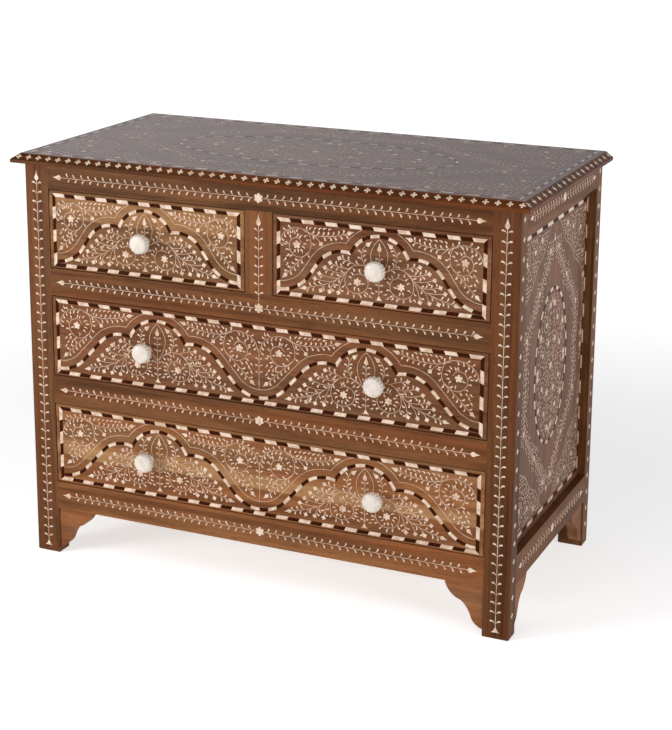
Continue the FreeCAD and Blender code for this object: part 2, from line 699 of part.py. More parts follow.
# Drawers: lapped fronts, sides with a dado for the back, bottoms slid into grooves
def drawer(name, x_low, x_high, level, opening, knob_places):
    sill = RAIL_LEVELS[level][1]
    lapped = f"({FRONT} + drawer_front_thickness - drawer_lap)"
    front_back = f"({FRONT} + drawer_front_thickness)"
    rear_end = f"({REAR_RAIL[0]} - drawer_back_gap)"
    inside = {
        -1: f"({x_low} + drawer_side_gap + drawer_side_thickness)",
        1: f"({x_high} - drawer_side_gap - drawer_side_thickness)",
    }
    outside = {-1: f"({x_low} + drawer_side_gap)", 1: f"({x_high} - drawer_side_gap)"}
    board = (f"{sill} + drawer_bottom_lift", f"{sill} + drawer_bottom_lift + drawer_bottom_thickness")
    side_height = (f"{sill} + runner_clearance", f"{sill} + {opening} - drawer_side_drop")
    back_depth = (f"{rear_end} - drawer_tail - drawer_back_thickness", f"{rear_end} - drawer_tail")
    back_height = (f"{board[1]} + joint_fit", f"{side_height[1]} - drawer_back_drop")
    grooved = (f"{inside[-1]} - drawer_groove", f"{inside[1]} + drawer_groove")
    groove_height = (board[0], f"{board[1]} + joint_fit")
    knob_level = f"({sill} + {opening} / 2 - knob_drop)"

    front = new_piece(f"{name}_front")
    face = (f"{x_low} + drawer_gap", f"{x_high} - drawer_gap")
    face_height = (f"{sill} + drawer_gap", f"{sill} + {opening} - drawer_gap")
    wood(front, "Board", face, (FRONT, front_back), face_height)
    for lap in ((face[0], inside[-1]), (inside[1], face[1])):
        cut(front, "Lap", lap, (lapped, front_back), face_height)
    groove_front = (f"{front_back} - drawer_groove - glue_space", front_back)
    cut(front, "Bottom_groove", (inside[-1], inside[1]), groove_front, groove_height)
    for x in knob_places:
        behind = (x, front_back, knob_level)
        hole = "bolt_radius + joint_fit"
        rod(front, "Subtractive", "Bolt_hole", behind, TO_FRONT, hole, "drawer_front_thickness")
    doc.recompute()
    nearest = front.Shape.BoundBox.YMin
    rim = [
        edge
        for edge in edges_where(front.Tip, lambda at: close(at.y, nearest))
        if len(front.Tip.getSubObject(edge).Vertexes) == 2
    ]
    dress(front, "Chamfer", "Eased_face", rim, "Size", "front_arris")

    for word, hand in (("left", -1), ("right", 1)):
        side = new_piece(f"{name}_{word}_side")
        low, high = sorted((outside[hand], inside[hand]), key=value_of)
        wood(side, "Board", (low, high), (lapped, rear_end), side_height)
        if hand < 0:
            groove = (f"{inside[hand]} - drawer_groove", inside[hand])
        else:
            groove = (inside[hand], f"{inside[hand]} + drawer_groove")
        cut(side, "Bottom_groove", groove, (lapped, rear_end), groove_height)
        cut(side, "Back_dado", groove, eased(back_depth), (back_height[0], side_height[1]))

    back = new_piece(f"{name}_back")
    wood(back, "Board", grooved, back_depth, back_height)

    bottom = new_piece(f"{name}_bottom")
    narrowed = (f"{grooved[0]} + joint_fit", f"{grooved[1]} - joint_fit")
    wood(bottom, "Board", narrowed, (f"{front_back} - drawer_groove", back_depth[1]), board)

    knobs = [
        knob(f"{name}_knob_{number}", x, knob_level)
        for number, x in enumerate(knob_places, start=1)
    ]
    bolts = []
    for number, x in enumerate(knob_places, start=1):
        bolt = new_piece(f"{name}_bolt_{number}")
        head = (x, f"{front_back} + bolt_head_height", knob_level)
        rod(bolt, "Additive", "Head", head, TO_FRONT, "bolt_head_radius", "bolt_head_height")
        shank = (x, front_back, knob_level)
        reach = "drawer_front_thickness + bolt_bite"
        rod(bolt, "Additive", "Shank", shank, TO_FRONT, "bolt_radius", reach)
        bolts.append(bolt)
    group(f"{name}_knobs", knobs)
    group(f"{name}_bolts", bolts)


KNOB_OFFSET = f"(({INNER} + stile_width / 2) / 2)"
LEFT_KNOB = f"-{KNOB_OFFSET}"
drawer("upper_left_drawer", f"-{INNER}", "-stile_width / 2", "upper", "top_opening", [LEFT_KNOB])
drawer("upper_right_drawer", "stile_width / 2", INNER, "upper", "top_opening", [KNOB_OFFSET])
for name, level, opening in (
    ("middle_drawer", "lower", "middle_opening"),
    ("bottom_drawer", "bottom", "bottom_opening"),
):
    drawer(name, f"-{INNER}", INNER, level, opening, [LEFT_KNOB, KNOB_OFFSET])

# Check the whole document, then write one file for each piece
doc.recompute()
for item in doc.Objects:
    if any(flag in item.State for flag in ("Invalid", "Error")):
        raise RuntimeError(f"{item.Label} failed: {item.State}")
for piece in pieces:
    if piece.Shape.isNull() or not piece.Shape.isValid() or not piece.Shape.Solids:
        raise RuntimeError(f"{piece.Label} has no valid solid")
os.makedirs("parts", exist_ok=True)
for piece in pieces:
    piece.Shape.exportStep(f"parts/{piece.Label}.step")
print(len(pieces), "pieces written")
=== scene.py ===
"""Chest of drawers inlaid with bone: its finishes, its inlay, and a plain studio round it. Metres."""
import math
import random

import bpy
from mathutils import Matrix, Vector


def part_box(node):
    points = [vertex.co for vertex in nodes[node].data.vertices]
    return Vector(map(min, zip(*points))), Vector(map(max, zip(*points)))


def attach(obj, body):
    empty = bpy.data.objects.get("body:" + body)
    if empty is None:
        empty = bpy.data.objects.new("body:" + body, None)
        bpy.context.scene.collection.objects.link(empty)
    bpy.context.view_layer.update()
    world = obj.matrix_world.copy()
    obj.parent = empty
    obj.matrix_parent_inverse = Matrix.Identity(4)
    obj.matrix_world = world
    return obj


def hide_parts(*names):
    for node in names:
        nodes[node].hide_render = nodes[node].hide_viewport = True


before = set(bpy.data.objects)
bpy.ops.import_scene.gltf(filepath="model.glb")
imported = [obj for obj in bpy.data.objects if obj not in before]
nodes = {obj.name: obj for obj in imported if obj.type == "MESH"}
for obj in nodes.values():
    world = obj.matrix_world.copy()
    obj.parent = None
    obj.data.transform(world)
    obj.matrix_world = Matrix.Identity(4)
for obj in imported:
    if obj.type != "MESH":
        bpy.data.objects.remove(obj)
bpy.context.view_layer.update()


# Posts: four square legs of brown hardwood with the grain upright, planed and waxed.
# The rails are tenoned into them and finish flush. A vine of bone is let into each front face,
# and a row of four-petalled flowers into the faces at the sides.
class Tone:
    """One value in a finish. Arithmetic on it adds the Math nodes that work it out."""

    def __init__(self, tree, socket=None):
        self.tree = tree
        self.socket = socket

    def node(self, kind, settings, sockets, out=0):
        """Adds any other node: its settings first, then a value or a link for each socket."""
        made = self.tree.nodes.new("ShaderNode" + kind)
        for setting, value in settings.items():
            setattr(made, setting, value)
        for place, value in sockets.items():
            if isinstance(value, Tone):
                self.tree.links.new(value.socket, made.inputs[place])
            else:
                made.inputs[place].default_value = value
        return Tone(self.tree, made.outputs[out])

    def math(self, operation, first, second=0.0):
        return self.node("Math", {"operation": operation}, {0: first, 1: second})

    def __add__(self, other):
        return self.math("ADD", self, other)

    __radd__ = __add__

    def __sub__(self, other):
        return self.math("SUBTRACT", self, other)

    def __rsub__(self, other):
        return self.math("SUBTRACT", other, self)

    def __mul__(self, other):
        return self.math("MULTIPLY", self, other)

    __rmul__ = __mul__

    def stretched(self, factors, shift=(0, 0, 0)):
        """A place, stretched along each axis and then shifted."""
        longer = self.node("VectorMath", {"operation": "MULTIPLY"}, {0: self, 1: factors})
        return self.node("VectorMath", {"operation": "ADD"}, {0: longer, 1: shift})

    def cloud(self, detail=2.0, distortion=0.0):
        """Soft noise from 0 to 1 over a place."""
        sockets = {"Vector": self, "Scale": 1.0, "Detail": detail, "Distortion": distortion}
        return self.node("TexNoise", {}, sockets)

    def rise(self, low, high):
        """0 below low, 1 above high, and a smooth step between."""
        sockets = {"Value": self, "From Min": low, "From Max": high}
        return self.node("MapRange", {"interpolation_type": "SMOOTHSTEP"}, sockets)

    def blend(self, first, second):
        """The first colour where this value is 0 and the second where it is 1."""
        pair = [colour if isinstance(colour, Tone) else (*colour, 1.0) for colour in (first, second)]
        return self.node("Mix", {"data_type": "RGBA"}, {0: self, 6: pair[0], 7: pair[1]}, out=2)

    def part(self, axis):
        """How far a place lies along one axis."""
        return self.node("SeparateXYZ", {}, {0: self}, out=axis)


def new_finish(name, shine):
    """A material with its shader and the place on the piece that its pattern starts from."""
    finish = bpy.data.materials.new(name)
    finish.use_nodes = True
    shader = finish.node_tree.nodes["Principled BSDF"]
    shader.inputs["Specular IOR Level"].default_value = shine
    place = Tone(finish.node_tree).node("TexCoord", {}, {}, out="Object")
    return finish, shader, place


def feed(shader, **values):
    """Links each value to the shader's socket of that name."""
    for socket, tone in values.items():
        tone.tree.links.new(tone.socket, shader.inputs[socket.replace("_", " ")])


def raised(height, depth):
    """A surface normal for a relief whose full height is depth metres."""
    return height.node("Bump", {}, {"Height": height, "Distance": depth, "Strength": 0.6}, out="Normal")


AXES = "xyz"
REDDER = (1.02, 0.84, 0.72)


def along_grain(grain, lengthwise, crosswise):
    """Stretch factors with one value along the grain and the other across it."""
    return tuple(lengthwise if axis == grain else crosswise for axis in AXES)


def toned(colour, factors):
    return tuple(part * factor for part, factor in zip(colour, factors))


def clad(node, finish):
    """Gives a piece of the frame its finish."""
    for slot in nodes[node].material_slots:
        slot.material = finish


POLISH = 0.48
POLISH_ROUGHNESS = 0.36
POLISH_FADE = 0.0012


def timber(piece, grain, dark, light, wax=0.42, shine=0.09, sapwood=None, polished=None):
    """Gives a piece waxed wood: figure, rings, dark patches, fibres and pores, drawn out along the grain.

    Sapwood is where a pale streak of the board starts and ends above the floor, and its colour.
    Polished is the height above the floor from which the board is polished over its wax.
    """
    name = piece + "_wood"
    finish, shader, place = new_finish(name, shine)
    chance = random.Random(name)
    shift = tuple(chance.uniform(-40.0, 40.0) for _ in AXES)
    figure = place.stretched(along_grain(grain, 1.5, 13.0), shift).cloud(2.0, 0.6)
    rings = place.stretched(along_grain(grain, 2.2, 80.0), shift).cloud(4.0, 0.5)
    fibre = place.stretched(along_grain(grain, 15.0, 560.0), shift).cloud(3.0)
    pores = place.stretched(along_grain(grain, 60.0, 1400.0), shift).cloud(1.0).rise(0.58, 0.72)
    smoke = place.stretched(along_grain(grain, 5.0, 20.0), shift[::-1]).cloud(3.0, 1.2).rise(0.52, 0.72)
    redness = place.stretched(along_grain(grain, 1.0, 26.0), shift[::-1]).cloud(2.0).rise(0.40, 0.62)
    lightness = figure.rise(0.32, 0.68) * 0.42 + rings.rise(0.34, 0.66) * 0.40 + fibre.rise(0.3, 0.7) * 0.18
    brown = lightness.blend(dark, light)
    russet = lightness.blend(toned(dark, REDDER), toned(light, REDDER))
    colour = redness.blend(brown, russet)
    height = place.part("Z")
    if sapwood:
        start, end, pale = sapwood
        wander = place.stretched(along_grain(grain, 3.2, 6.0), shift).cloud(2.0, 0.3)
        level = height + 0.05 * (wander - 0.5)
        streak = level.rise(start, start + 0.003) * (1 - level.rise(end - 0.020, end))
        colour = (streak * (0.15 + 0.75 * rings)).blend(colour, pale)
    colour = (smoke * 0.45).blend(colour, dark)
    colour = (pores * 0.55).blend(colour, toned(dark, (0.4, 0.4, 0.4)))
    feed(shader, Base_Color=colour, Roughness=wax + 0.14 * fibre + 0.10 * pores)
    feed(shader, Normal=raised(fibre * 0.5 - pores, depth=0.00012))
    if polished:
        shader.inputs["Coat Roughness"].default_value = wax
        feed(shader, Coat_Weight=POLISH * height.rise(polished - POLISH_FADE, polished))
    clad(piece, finish)


FRAME_DARK = (0.062, 0.022, 0.007)
FRAME_LIGHT = (0.245, 0.102, 0.038)


def frame_timber(piece, grain, board_tone_and_painted_light=1.0):
    """The frame's wood for one piece. Its factor makes the board lighter or darker than most; on the front
    rails it also carries painted light and shade.
    """
    factors = (board_tone_and_painted_light, board_tone_and_painted_light, board_tone_and_painted_light)
    timber(piece, grain, toned(FRAME_DARK, factors), toned(FRAME_LIGHT, factors))


frame_timber("front_left_post", "z", 0.85)
frame_timber("front_right_post", "z", 0.78)
frame_timber("rear_left_post", "z")
frame_timber("rear_right_post", "z")


def bone_finish(name, yellow, pale):
    """Bone rubbed smooth: each piece a little yellower or paler, with fine dark canals."""
    finish, shader, place = new_finish(name, shine=0.32)
    slivers = place.stretched((95.0, 95.0, 95.0)).cloud(1.0).rise(0.32, 0.66)
    canals = place.stretched((700.0, 700.0, 260.0)).cloud(2.0).rise(0.56, 0.74)
    ivory = slivers.blend(yellow, pale)
    colour = (canals * 0.24).blend(ivory, toned(yellow, (0.62, 0.55, 0.46)))
    feed(shader, Base_Color=colour, Roughness=0.32 + 0.18 * canals)
    feed(shader, Normal=raised(1 - canals, depth=0.00006))
    return finish


def blackened_finish(name, polish=0.0):
    """Blackened wood between the bone pieces of the borders, waxed or polished."""
    finish, shader, place = new_finish(name, shine=0.03)
    shader.inputs["Coat Weight"].default_value = polish
    shader.inputs["Coat Roughness"].default_value = POLISH_ROUGHNESS
    streaks = place.stretched((260.0, 260.0, 260.0)).cloud(3.0)
    colour = streaks.rise(0.35, 0.75).blend((0.024, 0.004, 0.001), (0.062, 0.013, 0.002))
    feed(shader, Base_Color=colour, Roughness=0.40 + 0.16 * streaks)
    feed(shader, Normal=raised(streaks, depth=0.00005))
    return finish


INLAY_YELLOW = (0.575, 0.395, 0.275)
INLAY_PALE = (0.775, 0.610, 0.480)
INLAY = {"bone": bone_finish("inlay_bone", INLAY_YELLOW, INLAY_PALE),
         "dark_inlay": blackened_finish("blackened_wood")}
MM = 0.001
PROUD = 0.00010
BEDDED = 0.00060
LEVELS = 11
LEVEL_STEP = 0.000009
CELL = 8.0
MARK_SPACING = 2.0
CLEARANCE = 0.6


def added(name, data):
    """A new object in the scene."""
    thing = bpy.data.objects.new(name, data)
    bpy.context.scene.collection.objects.link(thing)
    return thing


class Ground:
    """A flat face that takes inlay, a front one unless right and up are given.

    Shapes are drawn in millimetres, right and up from a corner.
    """

    def __init__(self, name, body, corner, right=(1, 0, 0), up=(0, 0, 1), finishes=INLAY):
        self.name = name
        self.finishes = finishes
        self.body = body
        self.corner = Vector(corner)
        self.right = Vector(right).normalized()
        self.up = Vector(up).normalized()
        self.out = self.right.cross(self.up)
        self.chance = random.Random(name)
        self.shapes = {"bone": [], "dark_inlay": []}
        self.count = 0
        self.taken = {}
        self.leaves = []

    def lay(self, left, right, material="bone"):
        """Lays one flat piece between its left and right edges, given from foot to tip.

        Each stands a hair higher or lower than the pieces before it, as hand-set pieces do.
        """
        self.count += 1
        level = PROUD + LEVEL_STEP * (self.count * 4 % LEVELS)
        self.shapes[material].append((left, right, level))
        middles = [((a[0] + b[0]) / 2, (a[1] + b[1]) / 2, math.dist(a, b) / 2) for a, b in zip(left, right)]
        for a, b in zip(middles, middles[1:]):
            steps = max(1, math.ceil(math.dist(a[:2], b[:2]) / MARK_SPACING))
            for step in range(steps + 1):
                x, y, half = (p + (q - p) * step / steps for p, q in zip(a, b))
                self.taken.setdefault((int(x // CELL), int(y // CELL)), []).append((x, y, half))

    def has_room(self, spine, widths):
        """Whether a piece would keep clear of all that is laid already."""
        for (x, y), width in zip(spine, widths):
            column, row = int(x // CELL), int(y // CELL)
            for cell in ((column + i, row + j) for i in (-1, 0, 1) for j in (-1, 0, 1)):
                for other_x, other_y, half in self.taken.get(cell, ()):
                    if math.hypot(x - other_x, y - other_y) < width / 2 + half + CLEARANCE:
                        return False
        return True

    def glue(self):
        """Lays the planned leaves where there is room, and makes each material's pieces into one mesh."""
        for spine, widths in self.leaves:
            if self.has_room(spine, widths):
                sliver(self, spine, widths)
        for material, shapes in self.shapes.items():
            if shapes:
                self.glue_material(material, shapes)

    def glue_material(self, material, shapes):
        points = []
        faces = []

        def corner_pair(spot, level):
            flat = self.corner + self.right * (spot[0] * MM) + self.up * (spot[1] * MM)
            points.append(flat + self.out * level)
            points.append(flat - self.out * BEDDED)
            return len(points) - 2, len(points) - 1

        def face(*corners):
            kept = tuple(dict.fromkeys(corners))
            if len(kept) > 2:
                faces.append(kept)

        for left, right, level in shapes:
            rows = []
            for a, b in zip(left, right):
                pair = corner_pair(a, level)
                rows.append(pair + (pair if a == b else corner_pair(b, level)))
            for (a, a_low, b, b_low), (c, c_low, d, d_low) in zip(rows, rows[1:]):
                face(b, d, c, a)
                face(a_low, c_low, d_low, b_low)
                face(a, c, c_low, a_low)
                face(b_low, d_low, d, b)
            a, a_low, b, b_low = rows[0]
            face(a, a_low, b_low, b)
            a, a_low, b, b_low = rows[-1]
            face(b, b_low, a_low, a)
        mesh = bpy.data.meshes.new(f"{self.name}_{material}")
        mesh.from_pydata(points, [], faces)
        mesh.materials.append(self.finishes[material])
        piece = added(mesh.name, mesh)
        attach(piece, self.body)


def outer_face(name, side_name, box, front, rear, bottom):
    """The face at the left or right of a piece, between its front and rear edges and up from its bottom."""
    low, high = box
    if side_name == "right":
        return Ground(name, "carcass", (high.x, front, bottom), (0, 1, 0))
    return Ground(name, "carcass", (low.x, rear, bottom), (0, -1, 0))


def toward(spot, angle, distance):
    return spot[0] + distance * math.cos(angle), spot[1] + distance * math.sin(angle)


class Line:
    """A line on a face, measured along its length, that runs on straight past its ends."""

    def __init__(self, points):
        self.points = points
        self.marks = [0.0]
        for a, b in zip(points, points[1:]):
            self.marks.append(self.marks[-1] + math.dist(a, b))
        self.length = self.marks[-1]

    def at(self, distance):
        """The point that far along, and the heading there."""
        step = 1
        while step < len(self.marks) - 1 and self.marks[step] < distance:
            step += 1
        a, b = self.points[step - 1], self.points[step]
        heading = math.atan2(b[1] - a[1], b[0] - a[0])
        return toward(a, heading, distance - self.marks[step - 1]), heading

    def beside(self, distance, offset):
        """The point that far along and that far to the left."""
        spot, heading = self.at(distance)
        return toward(spot, heading + math.pi / 2, offset)


BEND_STEPS = 12


def bend(points, spacing=2.5):
    """A smooth line through the points, in steps of about the spacing."""
    ends = [points[0]] + list(points) + [points[-1]]
    fine = []
    for before, a, b, after in zip(ends, ends[1:], ends[2:], ends[3:]):
        for step in range(BEND_STEPS):
            t = step / BEND_STEPS
            fine.append(tuple(
                0.5 * (2 * q + (r - p) * t + (2 * p - 5 * q + 4 * r - s) * t * t
                       + (3 * q - p - 3 * r + s) * t ** 3)
                for p, q, r, s in zip(before, a, b, after)))
    line = Line(fine + [points[-1]])
    steps = max(2, round(line.length / spacing))
    return Line([line.at(line.length * step / steps)[0] for step in range(steps + 1)])


def straight(start, end, spacing=60.0):
    """A straight line in a few long steps."""
    return bend([start, end], spacing)


def sliver(ground, spine, widths, material="bone"):
    """A flat piece along a spine of points, with its width at each of them."""
    left = []
    right = []
    for place, width in enumerate(widths):
        a = spine[max(place - 1, 0)]
        b = spine[min(place + 1, len(spine) - 1)]
        square = math.atan2(b[1] - a[1], b[0] - a[0]) + math.pi / 2
        left.append(toward(spine[place], square, width / 2))
        right.append(toward(spine[place], square, -width / 2) if width else left[-1])
    ground.lay(left, right, material)


STEM = 0.74


def stem(ground, line, width=STEM):
    sliver(ground, line.points, [width] * len(line.points))


LEAF = ((0.0, 0.05), (0.25, 0.12), (0.50, 0.24), (0.72, 0.34), (0.90, 0.29), (1.0, 0.0))
LEAF_GAP = 1.3
LEAF_SIZES = (0.90, 1.12)
LEAF_SWAY = 7.0


def leaf(ground, base, heading, side, length, lean=6.0, curl=108.0):
    """Plans a comma-shaped leaf: a thin tail beside the stem, swelling to a round end that curls outward."""
    grown = length * ground.chance.uniform(*LEAF_SIZES)
    leaning = lean + ground.chance.uniform(-LEAF_SWAY, LEAF_SWAY)
    spine = [base]
    for (near, _), (far, _) in zip(LEAF, LEAF[1:]):
        turn = math.radians(leaning + curl * (near + far) / 2)
        spine.append(toward(spine[-1], heading + side * turn, grown * (far - near)))
    ground.leaves.append((spine, [length * width for _, width in LEAF]))


def shaped(ground, base, heading, length, width, outline):
    """A flat piece from its base along a heading, with its outline's share of the width all along it."""
    sliver(ground, [toward(base, heading, length * reach) for reach, _ in outline],
           [width * share for _, share in outline])


BUD = ((0.0, 0.22), (0.09, 0.72), (0.24, 1.0), (0.40, 0.84), (0.56, 0.46), (0.76, 0.24), (1.0, 0.0))


def bud(ground, base, heading, length, width):
    """A round bud with a drawn-out point."""
    shaped(ground, base, heading, length, width, BUD)


PETAL = ((0.0, 0.30), (0.34, 0.58), (0.62, 0.74), (0.86, 0.58), (1.0, 0.0))
CROSS_PETAL = ((0.0, 0.14), (0.34, 0.44), (0.62, 0.66), (0.86, 0.56), (1.0, 0.0))
DIAMOND_PETAL = ((0.0, 0.50), (0.30, 0.92), (0.60, 0.66), (0.85, 0.36), (1.0, 0.0))
PETAL_ROOM = 4.6
FLOWER_SWAY = 9.0


def flower(ground, centre, radius, petals, turn=90.0, petal=PETAL, full=1.0):
    """Petals set round a centre."""
    width = radius * full * PETAL_ROOM / petals
    start = math.radians(turn + ground.chance.uniform(-FLOWER_SWAY, FLOWER_SWAY))
    for number in range(petals):
        shaped(ground, centre, start + 2 * math.pi * number / petals, radius, width, petal)


def vine(ground, line, pitch, leaf_length, first=None, last=0.0, stagger=0.0, width=STEM, sides=(1, -1),
         **shape):
    """A stem with leaves on its sides, from first to last millimetres from its ends."""
    stem(ground, line, width)
    for side in sides:
        along = (pitch / 2 if first is None else first) + (stagger if side < 0 else 0.0)
        while along <= line.length - last:
            base = line.beside(along, side * (width / 2 + LEAF_GAP))
            leaf(ground, base, line.at(along)[1], side, leaf_length, **shape)
            along += pitch


FOOT = ((0.0, 1.0), (0.22, 0.56), (0.60, 0.30), (1.0, 0.0))


def foot(ground, base, width, height):
    """The small flared mound that a vine grows from."""
    shaped(ground, base, math.pi / 2, height, width, FOOT)


POST_FOOT = {"width": 17.0, "height": 11.0}
FOOT_LEVEL = 13.0
STEM_LEVEL = 23.0
POST_VINE = {"pitch": 18.6, "leaf_length": 10.2, "first": 8.0, "last": 3.0, "width": 0.95, "lean": 14.0,
             "curl": 104.0}
POST_BUD = {"length": 19.0, "width": 9.5}
POST_FLOWER = {"radius": 5.5, "petals": 4, "petal": CROSS_PETAL}
BUD_BELOW_TOP = 15.0
FLOWER_PITCH = 35.0
FLOWER_BELOW_TOP = 19.0
LOWEST_FLOWER = 12.0
for side_name in ("left", "right"):
    low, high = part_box(f"front_{side_name}_post")
    post_width = (high.x - low.x) / MM
    post_height = (high.z - low.z) / MM
    middle = post_width / 2
    ground = Ground(f"{side_name}_post_vine", "carcass", low)
    foot(ground, (middle, FOOT_LEVEL), **POST_FOOT)
    bud_base = post_height - BUD_BELOW_TOP - POST_BUD["length"]
    vine(ground, straight((middle, STEM_LEVEL), (middle, bud_base)), **POST_VINE)
    bud(ground, (middle, bud_base), math.pi / 2, **POST_BUD)
    ground.glue()
    for end in ("front", "rear"):
        low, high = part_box(f"{end}_{side_name}_post")
        depth = (high.y - low.y) / MM
        name = f"{end}_{side_name}_post_flowers"
        ground = outer_face(name, side_name, (low, high), low.y, high.y, low.z)
        height = post_height - FLOWER_BELOW_TOP
        while height > LOWEST_FLOWER:
            flower(ground, (depth / 2, height), **POST_FLOWER)
            height -= FLOWER_PITCH
        ground.glue()


# Rails and the stile: stout bars tenoned between the posts, of the same wood with the grain lengthwise.
# A vine runs both ways from a bone star at the middle of each rail to a bud near each end,
# and another climbs the stile between the two small drawers.
FRONT_RAILS = ("front_top_rail", "front_upper_rail", "front_lower_rail", "front_bottom_rail")
SIDE_RAILS = ("left_top_rail", "left_bottom_rail", "right_top_rail", "right_bottom_rail")
# Each front rail's factor is partly its board's own tone and partly painted light and shade: the top rail is
# darker as painted shade under the overhang of the top, and the bottom rail much paler as painted light
# thrown up from the white floor.
for rail, board_tone_and_painted_light in zip(FRONT_RAILS, (0.86, 0.90, 1.03, 1.48)):
    frame_timber(rail, "x", board_tone_and_painted_light)
for rail in SIDE_RAILS:
    frame_timber(rail, "y", board_tone_and_painted_light=0.9)
frame_timber("centre_stile", "z")

RAIL_VINE = {"pitch": 16.0, "leaf_length": 9.0, "first": 5.0, "last": 4.0, "stagger": 4.0, "width": 0.8,
             "lean": 14.0, "curl": 88.0}
STAR = {"radius": 9.5, "petals": 6, "full": 1.12}
RAIL_BUD = {"length": 18.0, "width": 10.2}
END_MARGIN = 12.0


def rail_vine(ground, length, height):
    """A star in the middle of a rail and a vine from it to a bud at either end."""
    centre = (length / 2, height / 2)
    flower(ground, centre, **STAR)
    reach = length / 2 - END_MARGIN - RAIL_BUD["length"]
    for heading in (0.0, math.pi):
        tip = toward(centre, heading, reach)
        vine(ground, straight(toward(centre, heading, STAR["radius"]), tip), **RAIL_VINE)
        bud(ground, tip, heading, **RAIL_BUD)


opening_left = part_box("front_left_post")[1].x
opening_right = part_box("front_right_post")[0].x
for rail in FRONT_RAILS:
    low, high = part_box(rail)
    ground = Ground(rail + "_vine", "carcass", (opening_left, low.y, low.z))
    rail_vine(ground, (opening_right - opening_left) / MM, (high.z - low.z) / MM)
    ground.glue()

side_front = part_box("front_right_post")[1].y
side_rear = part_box("rear_right_post")[0].y
for rail in SIDE_RAILS:
    low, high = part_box(rail)
    side_name = rail.split("_")[0]
    ground = outer_face(rail + "_vine", side_name, (low, high), side_front, side_rear, low.z)
    rail_vine(ground, (side_rear - side_front) / MM, (high.z - low.z) / MM)
    ground.glue()

STILE_VINE = {**RAIL_VINE, "pitch": 17.0, "first": 13.0, "stagger": 0.0}
STILE_BUD = {"length": 22.0, "width": 9.5}
BUD_FOOT_BELOW_RAIL = 27.0
STEM_INTO_RAIL = 14.0
low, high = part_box("centre_stile")
stile_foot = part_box("front_upper_rail")[1].z
stile_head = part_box("front_top_rail")[0].z
middle = (high.x - low.x) / 2 / MM
bud_base = (stile_head - stile_foot) / MM - BUD_FOOT_BELOW_RAIL
ground = Ground("centre_stile_vine", "carcass", (low.x, low.y, stile_foot))
vine(ground, straight((middle, -STEM_INTO_RAIL), (middle, bud_base)), **STILE_VINE)
bud(ground, (middle, bud_base), math.pi / 2, **STILE_BUD)
ground.glue()


# Brackets: sawn scrolls of a lighter, warmer board under the bottom rails, glued and pinned into
# the corner between rail and post, and set back a little from the face.
BRACKET_DARK = (0.150, 0.058, 0.021)
BRACKET_LIGHT = (0.330, 0.142, 0.060)
for bracket in ("front_left_bracket", "front_right_bracket"):
    timber(bracket, "x", BRACKET_DARK, BRACKET_LIGHT)
for bracket in ("left_front_bracket", "left_rear_bracket", "right_front_bracket", "right_rear_bracket"):
    timber(bracket, "y", BRACKET_DARK, BRACKET_LIGHT)


# Side panels: boards with the grain upright, loose in grooves of the posts and rails. They are bordered
# with bone and black wood round an oval packed with scrolls, a ring of vines and scrolls in the corners.
PANEL_DARK = (0.068, 0.025, 0.010)
PANEL_LIGHT = (0.205, 0.088, 0.040)
for panel in ("left_side_panel", "right_side_panel"):
    timber(panel, "z", PANEL_DARK, PANEL_LIGHT, shine=0.20)

BAND_WIDTH = 7.0
BAND_SLANT = 1.6
BAND_STEP = 6.0
OVAL_STEPS = 40
SCROLL_STEPS = 20
SCROLL_TURN = 2.6 * math.pi
SCROLL_CLOSING = 0.5
OTHER = {"bone": "dark_inlay", "dark_inlay": "bone"}


def band(ground, line, count, first, width, start=0.0, finish=0.0, slant=0.6):
    """Bone and black pieces in turn along a line. Start and finish skew its two ends, for mitres."""
    material = first
    piece = line.length / count
    for step in range(count):
        begin, end = piece * step, piece * (step + 1)
        skew_in = start if step == 0 else slant
        skew_out = finish if step == count - 1 else slant
        cuts = max(1, math.ceil(piece / BAND_STEP))
        shares = [cut / cuts for cut in range(cuts + 1)]
        edges = []
        for hand in (1, -1):
            a, b = begin + hand * skew_in, end + hand * skew_out
            edges.append([line.beside(a + (b - a) * share, hand * width / 2) for share in shares])
        ground.lay(edges[0], edges[1], material)
        material = OTHER[material]
    return material


def border(ground, left, low, right, high, across, upright, first, width=BAND_WIDTH):
    """A mitred border of that many pieces across and upright. First is the foot's first piece."""
    corners = [(left, low), (right, low), (right, high), (left, high), (left, low)]
    material = first
    counts = (across, upright, across, upright)
    slants = (BAND_SLANT, BAND_SLANT, -BAND_SLANT, -BAND_SLANT)
    for a, b, count, slant in zip(corners, corners[1:], counts, slants):
        material = band(ground, Line([a, b]), count, material, width, width / 2, -width / 2, slant)


def oval(centre, half_width, half_height, side):
    """Half of an oval outline, from its top to its foot on the right and back up on the left."""
    spots = []
    for step in range(OVAL_STEPS + 1):
        angle = math.pi * step / OVAL_STEPS
        across = side * half_width * math.sin(angle)
        spots.append((centre[0] + across, centre[1] + side * half_height * math.cos(angle)))
    return Line(spots)


def scroll(ground, eye, radius, start, hand, width, blossom):
    """A stem that winds in round a flower. Hand is 1 anticlockwise."""
    points = []
    for step in range(SCROLL_STEPS + 1):
        share = step / SCROLL_STEPS
        turned = start + hand * SCROLL_TURN * share
        points.append(toward(eye, turned, radius * (1.0 - SCROLL_CLOSING * share)))
    stem(ground, bend(points), width)
    flower(ground, eye, blossom, 6)


